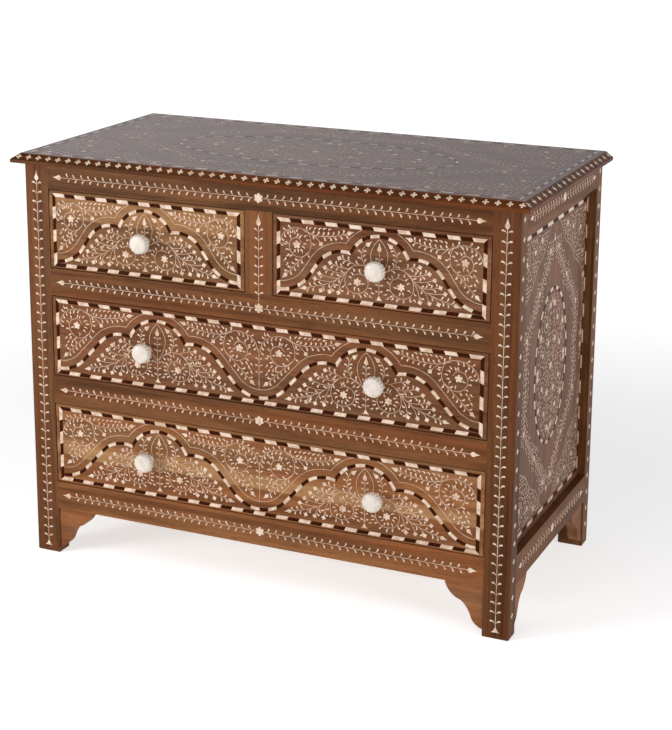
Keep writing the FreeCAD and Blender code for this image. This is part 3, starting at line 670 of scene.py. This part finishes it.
class Mirrored:
    """Lays a pattern, drawn across and up from its centre, mirrored either way and stretched.

    A lying pattern has its height along the face instead of up it.
    """

    def __init__(self, centre, across, up, stretch=(1.0, 1.0), lying=False):
        self.centre = centre
        self.across = across
        self.up = up
        self.stretch = stretch
        self.lying = lying
        self.hand = -across * up if lying else across * up

    def spot(self, x, y):
        x *= self.across * self.stretch[0]
        y *= self.up * self.stretch[1]
        if self.lying:
            x, y = y, x
        return self.centre[0] + x, self.centre[1] + y

    def line(self, points):
        return bend([self.spot(x, y) for x, y in points])

    def heading(self, degrees):
        """An angle of the pattern, mirrored with it, in radians."""
        x = self.across * math.cos(math.radians(degrees))
        y = self.up * math.sin(math.radians(degrees))
        return math.atan2(x, y) if self.lying else math.atan2(y, x)


OVAL_SCROLLS = ((52, 32, 23, 200, 1), (34, 86, 20, 240, -1), (20, 48, 11, 90, -1),
                (12, 120, 10, 300, 1), (68, 70, 10, 150, 1), (80, 6, 9, 200, -1))
RING = ((151, 0), (152, 60), (146, 96), (122, 120), (96, 146), (70, 172), (44, 198), (4, 228))
RING_SCROLLS = ((152, 88, 17, 20, 1), (84, 158, 16, 30, -1), (24, 226, 12, 300, 1))
CORNER_LINE = ((206, 54), (191, 84), (189, 120), (181, 150), (156, 166), (134, 178),
               (116, 198), (96, 214), (74, 224), (54, 242), (42, 262), (26, 275))
CORNER_SCROLLS = ((166, 232, 27, 230, 1), (118, 244, 21, 200, -1), (188, 180, 18, 250, -1),
                  (80, 258, 14, 180, 1), (198, 130, 10, 260, 1), (194, 264, 9, 120, -1),
                  (196, 12, 11, 150, 1))
CORNER_BED = CORNER_LINE + ((26, 281), (207, 281))
EDGE_SPRIG = (186, 46)
QUARTER = (210, 284)
ROW_SHARE = 0.87
FIRST_LEAF = (0.3, 0.4)
SWIRL = 115.0


def within(outline, x, y):
    """Whether a point is inside a closed outline."""
    inside = False
    for (x1, y1), (x2, y2) in zip(outline, outline[1:] + outline[:1]):
        if (y1 > y) != (y2 > y) and x < x1 + (y - y1) * (x2 - x1) / (y2 - y1):
            inside = not inside
    return inside


def foliage(ground, pattern, inside, eyes, pitch, length):
    """Plans leaves all over a bed of the pattern, each turning round the nearest flower."""
    step_x = pitch / pattern.stretch[0]
    step_y = ROW_SHARE * pitch / pattern.stretch[1]
    for row in range(int(QUARTER[1] / step_y)):
        for column in range(int(QUARTER[0] / step_x)):
            x = (column + FIRST_LEAF[0] + row % 2 / 2) * step_x
            y = (row + FIRST_LEAF[1]) * step_y
            if inside(x, y):
                eye = min(eyes, key=lambda eye: math.dist(eye[:2], (x, y)))
                around = math.degrees(math.atan2(y - eye[1], x - eye[0])) + SWIRL
                leaf(ground, pattern.spot(x, y), pattern.heading(around), pattern.hand, length)


def in_corner(x, y):
    return within(CORNER_BED, x, y) or x > EDGE_SPRIG[0] and y < EDGE_SPRIG[1]


OVAL_MARGIN = 8
SCROLL_REACH = 27
RING_REACH = 19
RING_SPACING = 8.0
MIDDLE_BLOSSOM = 1.4
CARPET_BUD = {"length": 16.0, "width": 7.0}
CARPET_BUD_LEVELS = (240, 122)


def carpet(ground, centre, oval_half, pieces, band_width, width, leaf_length, blossom, pitch,
           stretch=(1.0, 1.0), lying=False):
    """A banded oval of scrolls, a ring of vines round it and scrolled corners, in four like quarters."""
    half = [reach * longer for reach, longer in zip(oval_half, stretch)]
    for side, first in ((1, "dark_inlay"), (-1, "bone")):
        band(ground, oval(centre, *(half[::-1] if lying else half), side), pieces, first, band_width)
    ring = bend(RING, RING_SPACING).points

    def in_oval(x, y):
        return math.hypot(x / (oval_half[0] - OVAL_MARGIN), y / (oval_half[1] - OVAL_MARGIN)) < 1

    def in_ring(x, y):
        near_scroll = any(math.dist(eye[:2], (x, y)) < SCROLL_REACH for eye in RING_SCROLLS)
        return near_scroll or any(math.dist(spot, (x, y)) < RING_REACH for spot in ring)

    size = math.sqrt(stretch[0] * stretch[1])
    flower(ground, centre, MIDDLE_BLOSSOM * blossom, 6)
    beds = ((OVAL_SCROLLS, in_oval), (RING_SCROLLS, in_ring), (CORNER_SCROLLS, in_corner))
    for quarter in [Mirrored(centre, x, y, stretch, lying) for x in (1, -1) for y in (1, -1)]:
        for rounds, _ in beds:
            for x, y, radius, start, way in rounds:
                eye = quarter.spot(x, y)
                scroll(ground, eye, radius * size, quarter.heading(start), way * quarter.hand, width, blossom)
        vine(ground, quarter.line(RING), pitch, leaf_length, width=width)
        stem(ground, quarter.line(CORNER_LINE), width)
        for level in CARPET_BUD_LEVELS:
            bud(ground, quarter.spot(0, level), quarter.heading(90), **CARPET_BUD)
        for rounds, bed in beds:
            foliage(ground, quarter, bed, rounds, pitch, leaf_length)


SIDE_MARGINS = {"edge": 4.0, "foot": 12.0, "head": 17.0}
SIDE_BORDER = {"across": 13, "upright": 21, "first": "dark_inlay"}
SIDE_CARPET = {"oval_half": (97.0, 150.0), "pieces": 23, "band_width": 6.0, "width": 0.8, "leaf_length": 7.2,
               "blossom": 6.2, "pitch": 9.3}
panel_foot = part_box("right_bottom_rail")[1].z
panel_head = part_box("right_top_rail")[0].z
panel_width = (side_rear - side_front) / MM
panel_height = (panel_head - panel_foot) / MM
edge = SIDE_MARGINS["edge"] + BAND_WIDTH / 2
foot_line = SIDE_MARGINS["foot"] + BAND_WIDTH / 2
head_line = panel_height - SIDE_MARGINS["head"] - BAND_WIDTH / 2
for side_name in ("right", "left"):
    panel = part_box(f"{side_name}_side_panel")
    ground = outer_face(f"{side_name}_side_inlay", side_name, panel, side_front, side_rear, panel_foot)
    border(ground, edge, foot_line, panel_width - edge, head_line, **SIDE_BORDER)
    carpet(ground, (panel_width / 2, (foot_line + head_line) / 2), **SIDE_CARPET)
    ground.glue()


# Top: boards glued edge to edge with the grain along the chest, bevelled round the front and sides, polished
# on the flat and screwed up through the kickers. A row of small flowers follows the bevel, and the flat
# carries a fine border, a long oval of scrolls and corner work.
TOP_DARK = (0.038, 0.011, 0.002)
TOP_LIGHT = (0.160, 0.052, 0.012)
BEVEL_YELLOW = (0.720, 0.535, 0.365)
BEVEL_PALE = (0.900, 0.755, 0.590)
BEVEL_RUN = 0.015
BEVEL_DROP = 0.011
BEVEL_PITCH = {"front": 22.0, "right": 29.0, "left": 29.0}
BEVEL_FLOWER = {**POST_FLOWER, "radius": 6.0, "full": 0.90}
MITRE_MARGIN = 16.0
SQUARE_MARGIN = 10.0
POLISHED_BELOW = 0.0002
bevel_slope = math.hypot(BEVEL_RUN, BEVEL_DROP)
low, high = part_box("top_panel")
timber("top_panel", "x", TOP_DARK, TOP_LIGHT, POLISH_ROUGHNESS, polished=high.z - POLISHED_BELOW)
bevel_inlay = {"bone": bone_finish("bevel_bone", BEVEL_YELLOW, BEVEL_PALE)}
edge_height = high.z - BEVEL_DROP
bevels = (
    ("front", (low.x, low.y, edge_height), (1, 0, 0), (0, BEVEL_RUN, BEVEL_DROP), high.x - low.x,
     MITRE_MARGIN, MITRE_MARGIN),
    ("right", (high.x, low.y, edge_height), (0, 1, 0), (-BEVEL_RUN, 0, BEVEL_DROP), high.y - low.y,
     MITRE_MARGIN, SQUARE_MARGIN),
    ("left", (low.x, high.y, edge_height), (0, -1, 0), (BEVEL_RUN, 0, BEVEL_DROP), high.y - low.y,
     SQUARE_MARGIN, MITRE_MARGIN),
)
for name, corner, right, up, length, begin, end_margin in bevels:
    ground = Ground(f"{name}_bevel_flowers", "carcass", corner, right, up, bevel_inlay)
    end = length / MM - end_margin
    count = round((end - begin) / BEVEL_PITCH[name])
    for step in range(count + 1):
        spot = (begin + (end - begin) * step / count, bevel_slope / MM / 2)
        flower(ground, spot, **BEVEL_FLOWER)
    ground.glue()

TOP_INSET = 13.0
TOP_BAND = 4.5
TOP_BORDER = {"across": 41, "upright": 21, "first": "dark_inlay", "width": TOP_BAND}
TOP_CARPET = {"oval_half": (108.0, 165.0), "pieces": 33, "band_width": TOP_BAND, "width": 0.6,
              "leaf_length": 7.4, "blossom": 6.0, "pitch": 14.6, "stretch": (1.15, 1.74), "lying": True}
flat_width = (high.x - low.x - 2 * BEVEL_RUN) / MM
flat_depth = (high.y - low.y - BEVEL_RUN) / MM
flat_corner = (low.x + BEVEL_RUN, low.y + BEVEL_RUN, high.z)
polished_inlay = {**INLAY, "dark_inlay": blackened_finish("polished_black_wood", POLISH)}
ground = Ground("top_inlay", "carcass", flat_corner, up=(0, 1, 0), finishes=polished_inlay)
border(ground, TOP_INSET, TOP_INSET, flat_width - TOP_INSET, flat_depth - TOP_INSET, **TOP_BORDER)
carpet(ground, (flat_width / 2, flat_depth / 2), **TOP_CARPET)
ground.glue()


# Runners, kickers and the rear: bare paler wood that the maker leaves plain. The drawers slide on the
# runners and under the kickers, which also take the screws that hold the top down. The rear panel is
# pinned over four rear rails.
INNER_DARK = (0.250, 0.150, 0.078)
INNER_LIGHT = (0.440, 0.300, 0.180)
BARE = 0.55


def bare_timber(piece, grain):
    timber(piece, grain, INNER_DARK, INNER_LIGHT, wax=BARE)


for strips in ("upper_runners", "lower_runners", "bottom_runners", "kickers"):
    bare_timber(strips, "y")
for rail in ("rear_top_rail", "rear_upper_rail", "rear_lower_rail", "rear_bottom_rail"):
    bare_timber(rail, "x")
bare_timber("rear_panel", "z")


def steel_finish(name):
    """Zinc-bright steel with faint turning marks."""
    finish, shader, place = new_finish(name, shine=0.5)
    marks = place.stretched((900.0, 900.0, 900.0)).cloud(2.0)
    shader.inputs["Metallic"].default_value = 1.0
    colour = marks.blend((0.42, 0.42, 0.43), (0.60, 0.60, 0.60))
    feed(shader, Base_Color=colour, Roughness=0.28 + 0.18 * marks)
    feed(shader, Normal=raised(marks, depth=0.00003))
    return finish


clad("top_screws", steel_finish("screw_steel"))


# Drawers: a flush front lapped over two sides, with a back and a thin bottom in grooves.
# The boxes are of plain pale wood. Each front is one board, some with a pale streak of sapwood, and has
# a border, an arch or a pair of arches in bone and black, and flowering scrolls under and between them.
DRAWERS = ("upper_left_drawer", "upper_right_drawer", "middle_drawer", "bottom_drawer")
FRONT_WOODS = {
    "upper_left_drawer": ((0.074, 0.029, 0.010), (0.298, 0.144, 0.059),
                          (0.700, 0.752, (0.375, 0.200, 0.086))),
    "upper_right_drawer": ((0.095, 0.038, 0.017), (0.270, 0.122, 0.060), None),
    "middle_drawer": ((0.094, 0.036, 0.015), (0.256, 0.114, 0.051), None),
    "bottom_drawer": ((0.112, 0.044, 0.016), (0.350, 0.165, 0.068),
                      (0.210, 0.250, (0.470, 0.275, 0.125))),
}
for drawer in DRAWERS:
    dark, light, sapwood = FRONT_WOODS[drawer]
    timber(drawer + "_front", "x", dark, light, sapwood=sapwood)
    for part, grain in (("left_side", "y"), ("right_side", "y"), ("back", "x"), ("bottom", "x")):
        bare_timber(f"{drawer}_{part}", grain)

REVEAL = 1.5
ARCH_WIDTH = 6.2
LINE_GAP = 16.0
HEAD_PIECES = 8


def arc(centre, radius, start, finish, spacing=3.0):
    """Points round part of a circle, from one angle to another in degrees."""
    steps = max(2, math.ceil(abs(math.radians(finish - start)) * radius / spacing))
    swept = [start + (finish - start) * step / steps for step in range(steps + 1)]
    return [toward(centre, math.radians(angle), radius) for angle in swept]


def angle_to(a, b):
    return math.degrees(math.atan2(b[1] - a[1], b[0] - a[0]))


class Arch:
    """A lobed arch: a round head, and on each side a round shoulder that runs into a flare along a sill."""

    def __init__(self, crown, head_radius, shoulder, shoulder_top, shoulder_radius, sill, flare_radius=72.0):
        self.head = (0.0, crown - head_radius)
        self.head_radius = head_radius
        self.shoulder = (shoulder, shoulder_top - shoulder_radius)
        self.shoulder_radius = shoulder_radius
        self.sill = sill
        self.flare_radius = flare_radius

    def half(self, spread, grow=0.0):
        """Half of the line about the arch's middle, as its head and its flank, both from the cusp.

        Spread is how far the flare ends from the middle. Grow moves the whole line outward.
        """
        head_radius = self.head_radius + grow
        shoulder_radius = self.shoulder_radius + grow
        flare_radius = self.flare_radius - grow
        flare = (spread, self.sill + self.flare_radius)
        apart = math.dist(self.head, self.shoulder)
        reach = (apart ** 2 + head_radius ** 2 - shoulder_radius ** 2) / (2 * apart)
        bearing = angle_to(self.head, self.shoulder) + math.degrees(math.acos(reach / head_radius))
        cusp = toward(self.head, math.radians(bearing), head_radius)
        span = math.dist(self.shoulder, flare)
        slope = angle_to(self.shoulder, flare)
        slope += math.degrees(math.acos((shoulder_radius + flare_radius) / span))
        head = arc(self.head, head_radius, bearing, 90.0)
        flank = arc(self.shoulder, shoulder_radius, angle_to(self.shoulder, cusp), slope)
        flank += arc(flare, flare_radius, slope + 180.0, 270.0)
        return head, flank

    def lay(self, ground, middle, spreads, head_room, pieces, first):
        """Lays the band of bone and black and the thin line outside it, from the left flank to the right."""
        def laid(points, side):
            return [(middle + side * x, y) for x, y in points]

        (left_head, left), (right_head, right) = [self.half(spread) for spread in spreads]
        lines = ((Line(laid(left[::-1], -1)), pieces),
                 (Line(laid(left_head, -1) + laid(right_head[::-1], 1)[1:]), HEAD_PIECES),
                 (Line(laid(right, 1)), pieces))
        follows = first
        for line, count in lines:
            follows = band(ground, line, count, follows, ARCH_WIDTH)
        for spread, side in zip(spreads, (-1, 1)):
            head, flank = self.half(spread, LINE_GAP)
            rising = [(x, y) for x, y in head if y < head_room]
            stem(ground, Line(laid(rising[::-1] + flank[1:], side)))


DRAWER_VINE = {"pitch": 10.6, "leaf_length": 9.0}
DRAWER_LEAVES = {"pitch": 9.6, "length": 8.4}
BLOSSOM = 7.7
DIAMOND = 4.8
LONG_BUD = {"length": 15.0, "width": 8.0}
SHORT_BUD = {"length": 14.0, "width": 8.0}
SPANDREL_EYE = (49, 102)
SPANDREL_BED = ((20, 48), (20, 138), (150, 138), (140, 126), (112, 116), (92, 104), (80, 94),
                (54, 66), (34, 48))


def in_spandrel(x, y):
    return within(SPANDREL_BED, x, y)


def spandrel(ground, pattern):
    """Scrollwork between an arch and a corner: a scroll round a flower, a long vine and a short one."""
    over = pattern.line(((78, 124), (64, 131), (48, 133), (30, 127), (19, 115), (15, 100)))
    vine(ground, over, **DRAWER_VINE, stagger=4.0)
    along = pattern.line(((62, 130), (78, 124), (98, 122), (124, 125), (148, 132)))
    vine(ground, along, **DRAWER_VINE, first=16.0, last=1.0, stagger=3.0)
    bud(ground, *along.at(along.length), **LONG_BUD)
    winding = pattern.line(((72, 127), (77, 112), (76, 96), (67, 84), (52, 79), (39, 86), (34, 100),
                            (40, 112), (52, 114), (59, 106)))
    vine(ground, winding, **DRAWER_VINE, first=9.0, last=12.0, sides=(pattern.hand,))
    flower(ground, pattern.spot(*SPANDREL_EYE), BLOSSOM, 5)
    down = pattern.line(((72, 90), (60, 78), (46, 64), (35, 52), (29, 46)))
    vine(ground, down, **DRAWER_VINE, first=8.0, last=2.0, stagger=4.8)
    bud(ground, *down.at(down.length), **SHORT_BUD)
    stem(ground, pattern.line(((82, 123), (90, 116), (95, 111))))
    flower(ground, pattern.spot(97, 108), DIAMOND, 4, 45.0, DIAMOND_PETAL)
    foliage(ground, pattern, in_spandrel, (SPANDREL_EYE,), **DRAWER_LEAVES)


TWIGS = (
    ((46, 77), (60, 82), (74, 85)), ((58, 68), (75, 69), (92, 74)), ((68, 58), (85, 59), (102, 64)),
    ((79, 48), (96, 48), (113, 52)), ((92, 41), (107, 40), (122, 42)), ((66, 58), (74, 42), (78, 25)),
    ((83, 45), (91, 35), (95, 25)), ((102, 36), (109, 30), (112, 25)),
)
BUSH_EYE = (42, 45)
BUSH_REACH = 40
BUSH_ACROSS = (6, 84)
BUSH_UP = (20, 84)
BUSH_FOOT_LEVEL = 16.0
BUSH_STEM = (24.0, 104.0)
CROWN_LEVEL = 105.0
BUSH_FOOT = {"width": 14.0, "height": 9.0}
BUSH_VINE = {"pitch": 12.0, "leaf_length": 7.8, "first": 5.0, "last": 2.0}
CROWN_BUD = {"length": 17.0, "width": 8.4}
SIDE_BUD = {"length": 14.0, "width": 8.4}
DIAMOND_GAP = 3.5


def in_bush(x, y):
    in_box = BUSH_ACROSS[0] < x < BUSH_ACROSS[1] and BUSH_UP[0] < y < BUSH_UP[1]
    return in_box and math.dist((x, y), BUSH_EYE) < BUSH_REACH


def under_arch(ground, middle, stretch=(1.0, 1.0)):
    """The flowering bush under an arch: a stem in the middle, two scrolls and a fan of fronds each side."""
    up = stretch[1]
    foot(ground, (middle, BUSH_FOOT_LEVEL * up), **BUSH_FOOT)
    axis = bend([(middle, level * up) for level in BUSH_STEM])
    vine(ground, axis, **BUSH_VINE)
    bud(ground, (middle, CROWN_LEVEL * up), math.pi / 2, **CROWN_BUD)
    for side in (1, -1):
        pattern = Mirrored((middle, 0.0), side, 1, stretch)
        stem(ground, pattern.line(((0, 128), (9, 118), (16, 102), (15, 86), (8, 70), (0, 58))))
        outer = pattern.line(((14, 70), (26, 77), (33, 89), (33, 103), (27, 115)))
        vine(ground, outer, **DRAWER_VINE, first=6.0, stagger=3.0)
        bud(ground, pattern.spot(25, 114), pattern.heading(140), **SIDE_BUD)
        winding = pattern.line(((2, 58), (13, 70), (28, 77), (45, 76), (57, 69), (64, 58), (66, 45), (62, 32),
                                (50, 25), (37, 25), (25, 33), (21, 45), (26, 56), (37, 61), (48, 58)))
        vine(ground, winding, **DRAWER_VINE, first=12.0, last=10.0, sides=(pattern.hand,))
        flower(ground, pattern.spot(*BUSH_EYE), BLOSSOM, 6)
        frond = pattern.line(((52, 73), (66, 59), (82, 46), (101, 36), (122, 29), (142, 24)))
        vine(ground, frond, **DRAWER_VINE, first=14.0, stagger=4.5)
        bud(ground, *frond.at(frond.length), **LONG_BUD)
        for twig in TWIGS:
            shoot = pattern.line(twig)
            vine(ground, shoot, **DRAWER_VINE, first=8.0, last=1.0, stagger=4.0)
            tip, heading = shoot.at(shoot.length + DIAMOND_GAP)
            flower(ground, tip, DIAMOND, 4, math.degrees(heading), DIAMOND_PETAL)
        foliage(ground, pattern, in_bush, (BUSH_EYE,), **DRAWER_LEAVES)


SIDE_MARGIN = 12.5
HEAD_MARGIN = 10.3
FOOT_MARGIN = 8.3
SMALL_ARCH = Arch(crown=133.3, head_radius=60.0, shoulder=70.0, shoulder_top=98.5,
                  shoulder_radius=60.0, sill=15.5)
WIDE_ARCH = Arch(crown=138.5, head_radius=65.0, shoulder=78.0, shoulder_top=102.5,
                 shoulder_radius=64.0, sill=16.5)
WIDE_FROM = 600.0
ARCH_OFFSET = 215.5
ARCH_END_GAP = 4.0
SMALL_SPREAD = 196.0
WIDE_BUSH = (1.05, 1.04)
WIDE_SPANDREL = (1.14, 1.06)
MIDDLE_GAP = 15.0
MIDDLE_STEM = (34.0, 112.0)
MIDDLE_VINE = {"pitch": 13.0, "leaf_length": 7.6, "first": 30.0, "last": 4.0}
BORDER_FIRST = ("dark_inlay", "dark_inlay", "dark_inlay", "bone")
ARCH_FIRST = ("dark_inlay", "bone", "bone", "dark_inlay")
for drawer, border_first, first in zip(DRAWERS, BORDER_FIRST, ARCH_FIRST):
    low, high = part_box(drawer + "_front")
    corner = (low.x - REVEAL * MM, low.y, low.z - REVEAL * MM)
    ground = Ground(drawer + "_inlay", drawer, corner)
    width = (high.x - low.x) / MM + 2 * REVEAL
    height = (high.z - low.z) / MM + 2 * REVEAL
    middle = width / 2
    head_line = height - HEAD_MARGIN
    head_room = head_line - BAND_WIDTH / 2
    wide = width > WIDE_FROM
    border(ground, SIDE_MARGIN, FOOT_MARGIN, width - SIDE_MARGIN, head_line, across=37 if wide else 17,
           upright=6, first=border_first)
    if wide:
        inner = ARCH_OFFSET
        outer = middle - inner - SIDE_MARGIN - ARCH_END_GAP
        WIDE_ARCH.lay(ground, middle - inner, (outer, inner), head_room, pieces=10, first=first)
        WIDE_ARCH.lay(ground, middle + inner, (inner, outer), head_room, pieces=10, first=first)
        for side in (1, -1):
            under_arch(ground, middle + side * inner, WIDE_BUSH)
            for edge in (middle - side * middle, middle - side * MIDDLE_GAP):
                spandrel(ground, Mirrored((edge, 0.0), side, 1, WIDE_SPANDREL))
        vine(ground, Line([(middle, level) for level in MIDDLE_STEM]), **MIDDLE_VINE)
    else:
        SMALL_ARCH.lay(ground, middle, (SMALL_SPREAD, SMALL_SPREAD), head_room, pieces=9, first=first)
        under_arch(ground, middle)
        for side in (1, -1):
            spandrel(ground, Mirrored((middle - side * middle, 0.0), side, 1))
    ground.glue()


# Knobs: full turned heads of white bone with a flat face and sides carved into small lobes, one on each
# small drawer and two on each wide one, drawn tight by a bolt through the front.
KNOB_CREAM = (0.670, 0.588, 0.508)
KNOB_WHITE = (0.755, 0.690, 0.610)
KNOB_LOBES = 16
LOBE_DEPTH = 0.100
LOBE_STEPS = 8
LOBE_ROUNDNESS = 0.6
LOBED_BEYOND = 17.0
KNOB_PROFILE = (
    (10.0, 0.0), (10.0, 1.0), (8.2, 2.6), (7.2, 4.0), (7.2, 7.4), (9.2, 9.8), (13.2, 12.2), (17.1, 14.0),
    (18.8, 15.8), (19.3, 18.0), (19.3, 21.5), (19.0, 24.0), (18.3, 26.0), (17.2, 27.6), (16.0, 28.4),
    (15.4, 28.0), (14.9, 28.4), (14.2, 28.9), (8.0, 29.6), (0.0, 29.8),
)
knob_finish = bone_finish("knob_bone", KNOB_CREAM, KNOB_WHITE)


def turn_knob(points, faces, x, y, z):
    """One knob on its axis: turned to a profile, then the sides carved into round lobes."""
    sectors = KNOB_LOBES * LOBE_STEPS
    rings = []
    for radius, out in KNOB_PROFILE:
        depth = LOBE_DEPTH if radius > LOBED_BEYOND else 0.0
        ring = []
        for sector in range(sectors):
            angle = 2 * math.pi * sector / sectors
            valley = 1.0 - abs(math.cos(KNOB_LOBES * angle / 2)) ** LOBE_ROUNDNESS
            reach = radius * (1.0 - depth * valley) * MM
            ring.append(len(points))
            points.append((x + reach * math.cos(angle), y - out * MM, z + reach * math.sin(angle)))
            if radius == 0.0:
                break
        rings.append(ring)
    for near, far in zip(rings, rings[1:]):
        for sector in range(sectors):
            following = (sector + 1) % sectors
            if len(far) == 1:
                faces.append((near[sector], near[following], far[0]))
            else:
                faces.append((near[sector], near[following], far[following], far[sector]))
    faces.append(tuple(reversed(rings[0])))


for drawer in DRAWERS:
    low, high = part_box(drawer + "_knobs")
    radius = (high.z - low.z) / 2
    points = []
    faces = []
    for x in sorted({round(low.x + radius, 4), round(high.x - radius, 4)}):
        turn_knob(points, faces, x, high.y, low.z + radius)
    mesh = bpy.data.meshes.new(drawer + "_bone_knobs")
    mesh.from_pydata(points, [], faces)
    mesh.shade_smooth()
    mesh.materials.append(knob_finish)
    knobs = added(mesh.name, mesh)
    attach(knobs, drawer)
    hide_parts(drawer + "_knobs")
    clad(drawer + "_bolts", steel_finish(drawer + "_bolt_steel"))


# Studio: a white floor that keeps the shadow, white walls and a darker ceiling, one broad lamp low
# at the left, weaker ones in front, above and at the right, and a camera where the photographer stood.
FLOOR_REACH = 60.0
floor_mesh = bpy.data.meshes.new("floor")
corners = [(x * FLOOR_REACH, y * FLOOR_REACH, 0.0) for x, y in ((-1, -1), (1, -1), (1, 1), (-1, 1))]
floor_mesh.from_pydata(corners, [], [(0, 1, 2, 3)])
floor = added("floor", floor_mesh)


def ray(tree, kind):
    """1 where light goes that way: to the camera, off a mirror or through glass."""
    return Tone(tree).node("LightPath", {}, {}, out=f"Is {kind} Ray")


BOUNCE = 0.40
NEAR_LIFT = 0.24
FAR_LIFT = 0.36
finish, shader, place = new_finish("white_paper", shine=0.1)
speckle = place.stretched((30.0, 30.0, 30.0)).cloud(2.0)
feed(shader, Base_Color=speckle.blend((0.80, 0.80, 0.80), (0.82, 0.82, 0.82)))
shader.inputs["Roughness"].default_value = 0.9
shader.inputs["Emission Strength"].default_value = 1.0
seen = ray(finish.node_tree, "Camera")
glossy = ray(finish.node_tree, "Glossy")
away = place.node("VectorMath", {"operation": "LENGTH"}, {0: place}, out="Value")
lift = seen.math("MAXIMUM", seen, glossy) * (NEAR_LIFT + FAR_LIFT * away.rise(1.0, 3.0)) + BOUNCE
feed(shader, Emission_Color=lift.blend((0.0, 0.0, 0.0), (1.0, 1.0, 1.0)))
floor_mesh.materials.append(finish)

AMBIENT = 0.13
CEILING = 0.20
LEFT_WALL = 1.32
RIGHT_WALL = 0.75
COOL_WHITE = (0.975, 0.965, 1.0)
world = bpy.data.worlds.new("studio")
world.use_nodes = True
bpy.context.scene.world = world
sky = world.node_tree
shown = ray(sky, "Camera")
mirrored = ray(sky, "Glossy")
through = ray(sky, "Transmission")
direction = Tone(sky).node("TexCoord", {}, {}, out="Generated")
upward = 1 - (1 - CEILING) * direction.part("Z").rise(0.40, 0.85)
rightward = direction.part("X").rise(-0.65, -0.15)
walls = upward * (LEFT_WALL - (LEFT_WALL - RIGHT_WALL) * rightward)
white = shown.math("MAXIMUM", shown.math("MAXIMUM", shown, mirrored * walls), through)
strength = AMBIENT + (1 - AMBIENT) * white
background = sky.nodes["Background"]
background.inputs["Color"].default_value = (*COOL_WHITE, 1.0)
sky.links.new(strength.socket, background.inputs["Strength"])

LAMP_AIM = Vector((0, 0, 0.4))


def lamp(name, place, width, height, power):
    """A broad soft lamp that looks at the middle of the chest."""
    light = bpy.data.lights.new(name, "AREA")
    light.shape = "RECTANGLE"
    light.size = width
    light.size_y = height
    light.energy = power
    holder = added(name, light)
    holder.location = place
    holder.rotation_euler = (LAMP_AIM - Vector(place)).to_track_quat("-Z", "Y").to_euler()


lamp("key_lamp", (-2.6, -2.8, 1.05), width=1.3, height=1.1, power=71.0)
lamp("front_lamp", (0.9, -3.6, 0.70), width=1.8, height=1.0, power=7.0)
lamp("side_lamp", (3.4, -1.2, 0.90), width=1.9, height=1.4, power=50.0)
lamp("top_lamp", (-0.5, -2.0, 2.9), width=1.8, height=1.8, power=25.0)

CAMERA_PLACE = (1.39429, -3.0467, 1.45417)
CAMERA_TURN = 23.811
CAMERA_DOWN = 14.100
CAMERA_ROLL = 0.390
lens = bpy.data.cameras.new("camera")
lens.sensor_width = 36.0
lens.lens = 87.23
lens.shift_y = -0.15
lens.clip_end = 200.0
camera = added("camera", lens)
turn = Matrix.Rotation(math.radians(CAMERA_TURN), 4, "Z")
tilt = Matrix.Rotation(math.radians(90.0 - CAMERA_DOWN), 4, "X")
roll = Matrix.Rotation(math.radians(CAMERA_ROLL), 4, "Z")
camera.matrix_world = Matrix.Translation(CAMERA_PLACE) @ turn @ tilt @ roll
bpy.context.scene.camera = camera
bpy.context.scene.view_settings.view_transform = "Standard"
